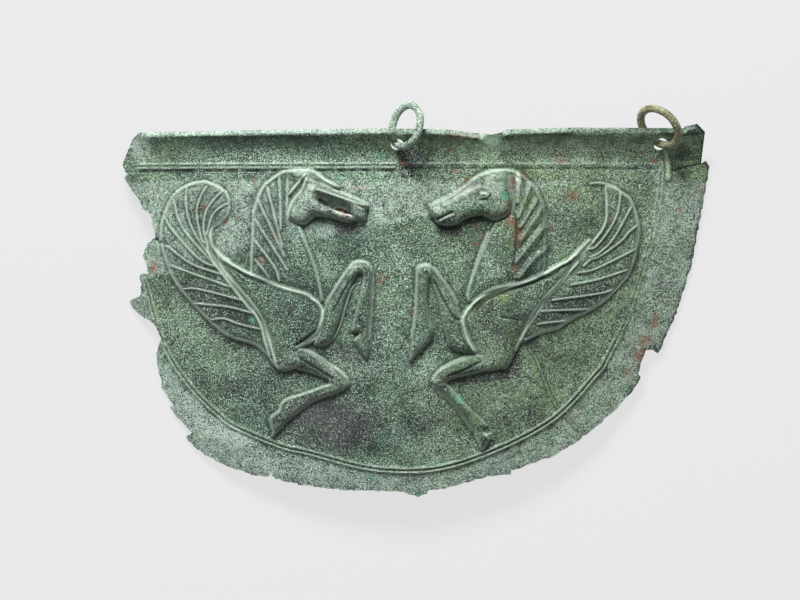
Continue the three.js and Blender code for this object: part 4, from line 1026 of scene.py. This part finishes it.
RING_SKINS = {
    "centre_ring": {"ground": (0.17, 0.26, 0.20), "other": (0.36, 0.48, 0.37),
                    "pit": (0.045, 0.08, 0.05), "grain": (0.74, 0.85, 0.73),
                    "stain": (0.09, 0.15, 0.11)},
    "right_ring": {"ground": (0.13, 0.16, 0.10), "other": (0.31, 0.32, 0.15),
                   "pit": (0.04, 0.04, 0.025), "grain": (0.48, 0.52, 0.33),
                   "stain": (0.17, 0.09, 0.05)},
}
RING_RADIUS = 8.85
RING_STEPS = 96
WIRE_SIDES = 16


def round_wire(name, ring):
    lean, tip = math.radians(ring["turn"]), math.radians(ring["tip"])
    level = Vector((math.sin(lean), math.cos(lean), 0))
    long = level * math.cos(tip) + Vector((0, 0, math.sin(tip)))
    across = Matrix.Rotation(-math.radians(ring["roll"]), 3, long) @ Vector((level.y, -level.x, 0))
    axis = across.cross(long)
    pose = Matrix((across, long, axis)).transposed().to_4x4()
    # The wire passes through its hole, so the ring's middle is one radius away from there.
    x, y = at_x(ring["x"]) + ring["slip"][0], at_y(ring["y"]) + ring["slip"][1]
    height = front(x, y) + (ring["lift"] - 0.5) * SHEET
    radius = RING_RADIUS * ring["grow"]
    pose.translation = Vector((x, y, height)) + long * radius + shift
    bm = bmesh.new()
    start = bmesh.ops.create_circle(bm, segments=WIRE_SIDES, radius=ring["wire"])["verts"]
    bmesh.ops.rotate(bm, cent=(0, 0, 0), matrix=Matrix.Rotation(math.pi / 2, 3, "X"), verts=start)
    bmesh.ops.translate(bm, vec=(radius, 0, 0), verts=start)
    bmesh.ops.spin(bm, geom=bm.verts[:] + bm.edges[:], cent=(0, 0, 0),
                   axis=(0, 0, 1), angle=2 * math.pi, steps=RING_STEPS, use_merge=True)
    bmesh.ops.remove_doubles(bm, verts=bm.verts, dist=0.001)
    bmesh.ops.recalc_face_normals(bm, faces=bm.faces)
    bm.normal_update()
    for v in bm.verts:
        slow = fractal(v.co * 0.16 + Vector((ring["roll"], 0, 0)), 1.0, 2.0, 2)
        quick = fractal(v.co * 0.9 + Vector((0, ring["roll"], 0)), 1.0, 2.0, 2)
        v.co += v.normal * (0.14 * slow + 0.09 * quick)
    bmesh.ops.transform(bm, matrix=pose, verts=bm.verts)
    bmesh.ops.scale(bm, vec=(0.001, 0.001, 0.001), verts=bm.verts)
    for f in bm.faces:
        f.smooth = True
    piece = finished(name + "_wire", bm)
    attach(piece, "root")
    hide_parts(name)
    return piece


def ring_bronze(name, skin_of):
    material, shader, place = new_bronze(name + "_bronze", 0.58)
    skin = blend(span(noise(place, 160, 3, 0.65), 0.38, 0.62), skin_of["ground"], skin_of["other"])
    patches = span(noise(place, 95, 3, 0.6), 0.45, 0.68)
    skin = place_group(stain, Vector=place, Under=skin, Stain=skin_of["stain"], Mask=patches,
                       Patch_Size=420.0, Ragged=1.3)["Color"]
    specks = place_group(grit, Vector=place, Grit_Size=1250.0, Pits=0.455, Grains=0.55)
    skin = blend(times(specks["Pits"], 0.85), skin, skin_of["pit"])
    skin = blend(times(specks["Grains"], 0.7), skin, skin_of["grain"])
    wire(shader.inputs["Base Color"], skin)
    roughen(shader, specks["Height"], 0.6, 0.0002)
    return material


for name, ring in RINGS.items():
    piece = round_wire(name, ring)
    piece.data.materials.append(ring_bronze(name, RING_SKINS[name]))


# The ground the plate lies on: a plain pale floor.
floor_mesh = bmesh.new()
bmesh.ops.create_grid(floor_mesh, x_segments=1, y_segments=1, size=3)
floor = finished("floor", floor_mesh)
paper = bpy.data.materials.new("floor_paper")
paper.use_nodes = True
fed(paper.node_tree.nodes["Principled BSDF"], Base_Color=(0.075, 0.075, 0.075),
    Emission_Color=(1, 0.995, 1), Emission_Strength=0.715, Roughness=0.95)
floor.data.materials.append(paper)

# Soft light from above the rim, and an even paler light from all round.
world = bpy.data.worlds.new("studio")
world.use_nodes = True
fed(world.node_tree.nodes["Background"], Color=(1, 1, 1), Strength=0.20)
bpy.context.scene.world = world
for name, place, size, power in (("key", (-0.30, 1.22, 1.0), 0.5, 42),
                                 ("fill", (0.2, -0.6, 1.6), 1.8, 1.5)):
    lamp = bpy.data.lights.new(name, "AREA")
    lamp.size = size
    lamp.energy = power
    lamp_object = bpy.data.objects.new(name, lamp)
    lamp_object.location = place
    aim = Vector(place) - Vector((0, 0, 0.02))
    lamp_object.rotation_euler = aim.to_track_quat("Z", "Y").to_euler()
    bpy.context.scene.collection.objects.link(lamp_object)

# The camera looks straight down from far above, as the photograph does.
PIXEL = 0.00042
PHOTO_WIDTH = 800
FILM = 36
AWAY = 4.0
camera_data = bpy.data.cameras.new("camera")
camera_data.sensor_width = FILM
camera_data.lens = FILM * AWAY / (PHOTO_WIDTH * PIXEL)
camera_data.clip_end = 20
camera = bpy.data.objects.new("camera", camera_data)
camera.location = (-0.00678, -0.00052, AWAY + 0.008)
bpy.context.scene.collection.objects.link(camera)
bpy.context.scene.camera = camera
bpy.context.scene.view_settings.view_transform = "Standard"
